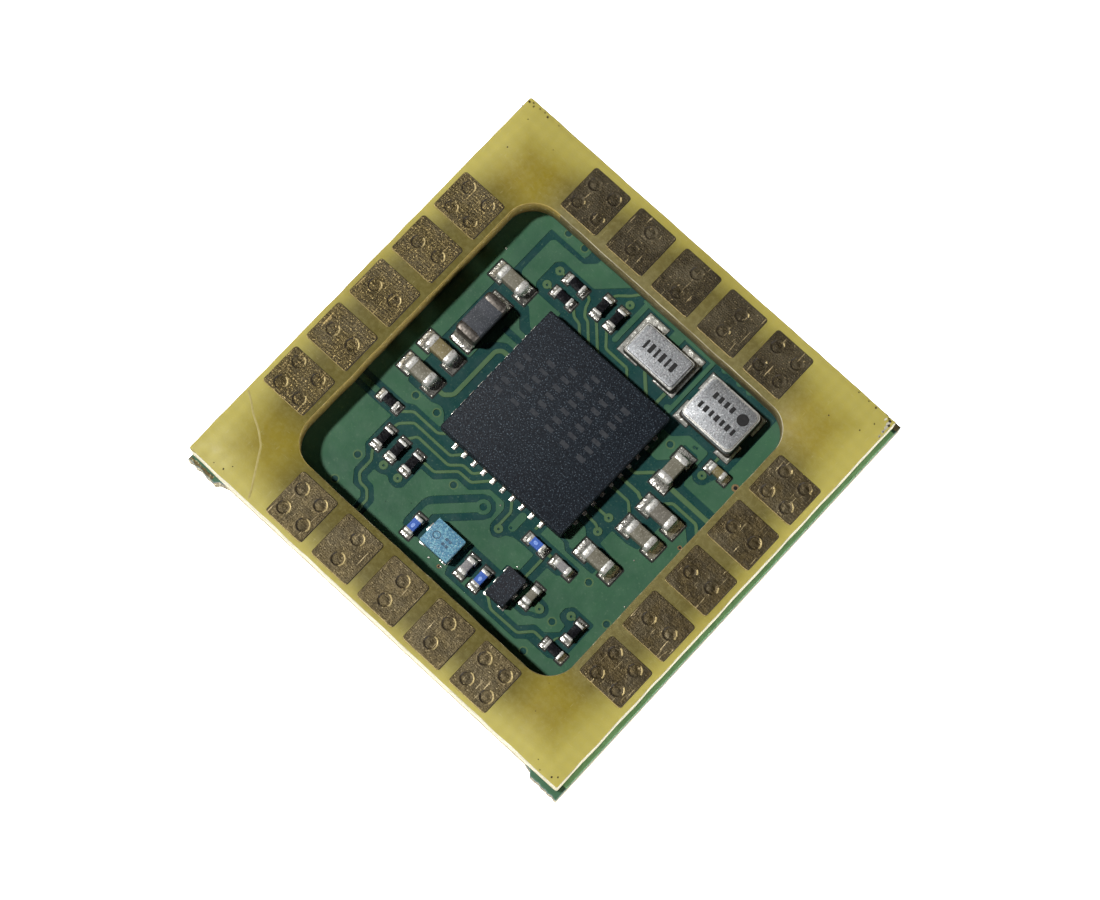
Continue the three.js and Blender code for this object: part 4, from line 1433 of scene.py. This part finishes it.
def board_outline():
    """The board's outline with a tab at each end of its two Y edges."""
    length, ramp = 1.1, 0.4
    x0, x1 = BOARD_LOW.x, BOARD_HIGH.x
    y0, y1 = BOARD_LOW.y + TAB_REACH, BOARD_HIGH.y - TAB_REACH
    shoulder = length + ramp * 0.3
    edge = []
    for start, end, foot, y, out in ((x0, x1, 1, y0, -1), (x1, x0, -1, y1, 1)):
        tab = TAB_REACH * out
        steps = [(0.0, 1.0), (length, 1.0), (shoulder, 0.4), (length + ramp, 0.0)]
        edge += [(start + foot * along, y + tab * share) for along, share in steps]
        edge += [(end - foot * along, y + tab * share) for along, share in steps[::-1]]
    return edge


def rough_board_outline():
    """The same outline with ragged ends where the tabs were broken from a panel."""
    straight = BOARD_HIGH.y - TAB_REACH
    result = []
    for x, y in divide(board_outline(), 0.07):
        past = abs(y) - straight
        ragged = 0.5 + noise.noise(Vector((x * 6, y * 3, 8.0)))
        if past > 0:
            broken_off = 0.0 if y < 0 else 0.19 if x < 0 else 0.07
            share = min((broken_off + 0.05 * max(ragged, 0.0)) / TAB_REACH, 0.96)
            past *= 1 - share
        elif past > -0.01:
            past -= 0.008 * max(ragged, 0.0)
        y = math.copysign(straight + past, y)
        x = min(max(x, BOARD_LOW.x + 0.004), BOARD_HIGH.x - 0.004)
        result.append((x, y))
    return result


def make_base_board():
    shape = Shape()
    outer = rough_board_outline()
    low, top = BOARD_LOW.z + UNDERSIDE_RELIEF, BOARD_TOP
    levels = [(low, 0.012), (low + 0.02, 0.0), (low + 0.04, 0.0),
              (top - 0.05, 0.0), (top - 0.02, 0.0), (top, 0.012)]
    add_plate(shape, outer, None, levels, 0, (0, 0, 1, 0, 0), 0)
    for index, face in enumerate(shape.faces):
        if shape.finishes[index] == 1:
            spots = [shape.verts[i] for i in face]
            if all(abs(v.y) > BOARD_HIGH.y - 0.21 and abs(v.x) < BOARD_HIGH.x - 0.02 for v in spots):
                shape.finishes[index] = 2
    shape.build("base_board_body", "board_mask", [MASK_BARE, BOARD_EDGE, TORN], ("base_board",), 50, True)


def make_board_art():
    pads = [("gap", soften(box_outline(x0 - 0.03, y0 - 0.03, x1 + 0.03, y1 + 0.03), 0.04))
            for x0, y0, x1, y1 in CRYSTAL_PADS + OSCILLATOR_PADS]
    pads += pad_outlines()
    drawing = draw(board_art() + pads)
    heights = {"gap": 0.003, "torn": 0.008, "edge": 0.006}
    heights.update({kind: MASK_RISE for kind in ("pour", "trace", "rim")})
    finishes = {"pour": 0, "trace": 1, "gap": 2, "rim": 3, "torn": 4, "edge": 5}
    shape = Shape()
    shape.place(ARRAY_X, ARRAY_Y)
    raise_areas(shape, drawing, heights, finishes, BOARD_TOP)
    materials = [MASK_POUR, MASK_TRACE, MASK_GAP, MASK_STRIP_PAINTED_LIGHT, TORN, BOARD_EDGE]
    shape.build("mask_relief", "board_mask", materials, smooth_angle=0)


def make_underside():
    """The hidden face: a ground area, plated holes round its edge and a round spot of bare copper."""
    half_x, half_y = BOARD_HIGH.x - 0.35, BOARD_HIGH.y - 0.6
    items = [("pour", soften(box_outline(-half_x, -half_y, half_x, half_y), 0.3, 5))]
    count = 12
    for i in range(count):
        along = (i - (count - 1) / 2) * 2 * (half_x - 0.5) / (count - 1)
        items += vias((along, half_y - 0.3), (along, -half_y + 0.3))
        items += vias((half_x - 0.3, along), (-half_x + 0.3, along))
    items += [("bare", circle(3.2, -2.2, 1.3, 32)), ("copper", circle(3.2, -2.2, 0.8, 28))]
    shape = Shape()
    relief = UNDERSIDE_RELIEF
    raise_areas(shape, draw(items), {"pour": relief * 0.8, "trace": relief, "copper": relief * 0.6},
                {"pour": 0, "trace": 1, "copper": 2}, BOARD_LOW.z + relief, -1)
    shape.build("underside_relief", "board_mask", [MASK_POUR, MASK_TRACE, BARE_COPPER], smooth_angle=0)


def make_through_holes():
    """Three small plated holes with bare copper rings round near-black discs, painted shade for the holes,
    and loose solder specks.
    """
    shape = Shape()
    level = BOARD_TOP + MASK_RISE
    for x, y, size in ((5.36, 3.0, 0.26), (5.36, 0.46, 0.16), (0.36, -4.98, 0.14)):
        x, y = x + ARRAY_X, y + ARRAY_Y
        shape.slab(circle(x, y, size, 20), [(level - 0.004, 0.0), (level + 0.006, 0.01)], (0,), (0, 0))
        shape.slab(circle(x, y, size * 0.5, 14), [(level, 0.0), (level + 0.008, 0.0)], (1,), (1, 1))
    for x, y, size in ((-0.05, -4.98, 0.09), (0.42, -4.94, 0.09), (4.6, -0.78, 0.06), (4.98, -0.02, 0.05),
                       (2.13, -3.35, 0.06), (-4.98, 3.77, 0.07), (0.45, -2.31, 0.06), (5.36, -2.03, 0.06)):
        shape.place(x + ARRAY_X, y + ARRAY_Y, level)
        add_dome(shape, 0, 0, 0, size, size * 0.4, 9, 2)
    shape.build("solder_specks", "solder", [BARE_COPPER, HOLE_SHADE, SOLDER])


# ---------- floor, light and camera ----------

def make_floor():
    """A pale floor that curves up into a low backdrop all round."""
    flat, bend, sides, steps = 0.75, 0.1, 64, 8      # metres to the curve, its radius, and its divisions
    rings = [[(0.5 * x, 0.5 * y, -1e-5) for x, y in circle(0, 0, 2 * flat, sides)]]
    for step in range(steps + 1):
        turn = math.pi / 2 * step / steps
        reach = flat + bend * math.sin(turn)
        height = bend * (1 - math.cos(turn)) - 1e-5
        rings.append([(x, y, height) for x, y in circle(0, 0, 2 * reach, sides)])
    verts = [point for ring in rings for point in ring]
    faces = [list(range(sides))]
    for low in range(0, len(verts) - sides, sides):
        for i in range(sides):
            j = (i + 1) % sides
            faces.append([low + i, low + sides + i, low + sides + j, low + j])
    mesh = bpy.data.meshes.new("floor")
    mesh.from_pydata(verts, [], faces)
    floor = bpy.data.objects.new("floor", mesh)
    bpy.context.scene.collection.objects.link(floor)
    finish = Finish("pale_floor", srgb(240, 240, 240), 0.8)
    finish.tint(finish.span(finish.noise(0.02, 2), 0.3, 0.7, 0.0, 0.2), srgb(232, 232, 233))
    finish.set("Emission Color", (1.0, 1.0, 1.0, 1.0))
    finish.set("Emission Strength", 2.0)
    mesh.materials.append(finish.done())


LIGHT_DIRECTION = Vector((-0.59, -0.37, 1.0)).normalized()


def make_lights():
    sun = bpy.data.lights.new("key_light", "SUN")
    sun.energy = 3.1
    sun.angle = math.radians(5)
    sun.color = (1.0, 0.99, 0.97)
    key = bpy.data.objects.new("key_light", sun)
    key.rotation_euler = LIGHT_DIRECTION.to_track_quat("Z", "Y").to_euler()
    bpy.context.scene.collection.objects.link(key)
    area = bpy.data.lights.new("low_fill", "AREA")
    area.size = 0.05
    area.energy = 0.075
    fill = bpy.data.objects.new("low_fill", area)
    toward = Vector((0.97, -0.1, 0.19)).normalized()
    fill.location = toward * 0.14
    fill.rotation_euler = toward.to_track_quat("Z", "Y").to_euler()
    bpy.context.scene.collection.objects.link(fill)
    world = bpy.data.worlds.new("soft_room")
    world.use_nodes = True
    background = world.node_tree.nodes["Background"]
    background.inputs["Color"].default_value = (1.0, 1.0, 1.0, 1.0)
    background.inputs["Strength"].default_value = 0.012
    bpy.context.scene.world = world


# The photograph's viewing angle, fitted once to the land corners, in millimetres.
CAMERA_PLACE = Vector((12.193, -14.974, 92.509))
CAMERA_FORWARD = Vector((-0.12752, 0.15868, -0.97906))
CAMERA_RIGHT = Vector((0.73352, 0.67951, 0.01459))
CAMERA_LENS = 99.65


def make_camera():
    """A short telephoto view from above, turned so that the module stands on one corner."""
    data = bpy.data.cameras.new("camera")
    data.sensor_width = 36.0
    data.lens = CAMERA_LENS
    data.clip_start = 0.005
    data.clip_end = 10.0
    camera = bpy.data.objects.new("camera", data)
    up = CAMERA_RIGHT.cross(CAMERA_FORWARD)
    turn = Matrix((CAMERA_RIGHT, up, -CAMERA_FORWARD)).transposed().to_4x4()
    camera.matrix_world = Matrix.Translation(CAMERA_PLACE * MM) @ turn
    bpy.context.scene.collection.objects.link(camera)
    bpy.context.scene.camera = camera


def finish_hidden_nodes():
    """Inner pieces keep their CAD shape and take a finish of their own."""
    silicon = bright_metal("silicon", srgb(110, 116, 126), 0.2, 0.002, srgb(80, 84, 96))
    quartz = fired_ceramic("quartz_strip", srgb(216, 220, 224), srgb(196, 202, 208), 0.1)
    looks = {"receiver_pad": BARE_COPPER, "receiver_die": silicon, "oscillator_chip": silicon,
             "crystal_blank": quartz, "oscillator_blank": quartz}
    for node, material in looks.items():
        for material_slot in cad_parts[node].material_slots:
            material_slot.material = material


def main():
    bpy.context.scene.view_settings.view_transform = "Standard"
    make_camera()
    make_lights()
    make_floor()
    make_base_board()
    make_board_art()
    make_underside()
    make_through_holes()
    make_window_frame()
    make_frame_marks()
    for index, node in enumerate(LANDS):
        make_land(index, node)
    make_receiver()
    make_crystal()
    make_oscillator()
    make_filter()
    make_amplifier()
    for node, look in CHIPS.items():
        make_chip(node, look)
    for node in ("inductor_02", "inductor_03", "inductor_04"):
        make_blue_window(node)
    finish_hidden_nodes()


main()
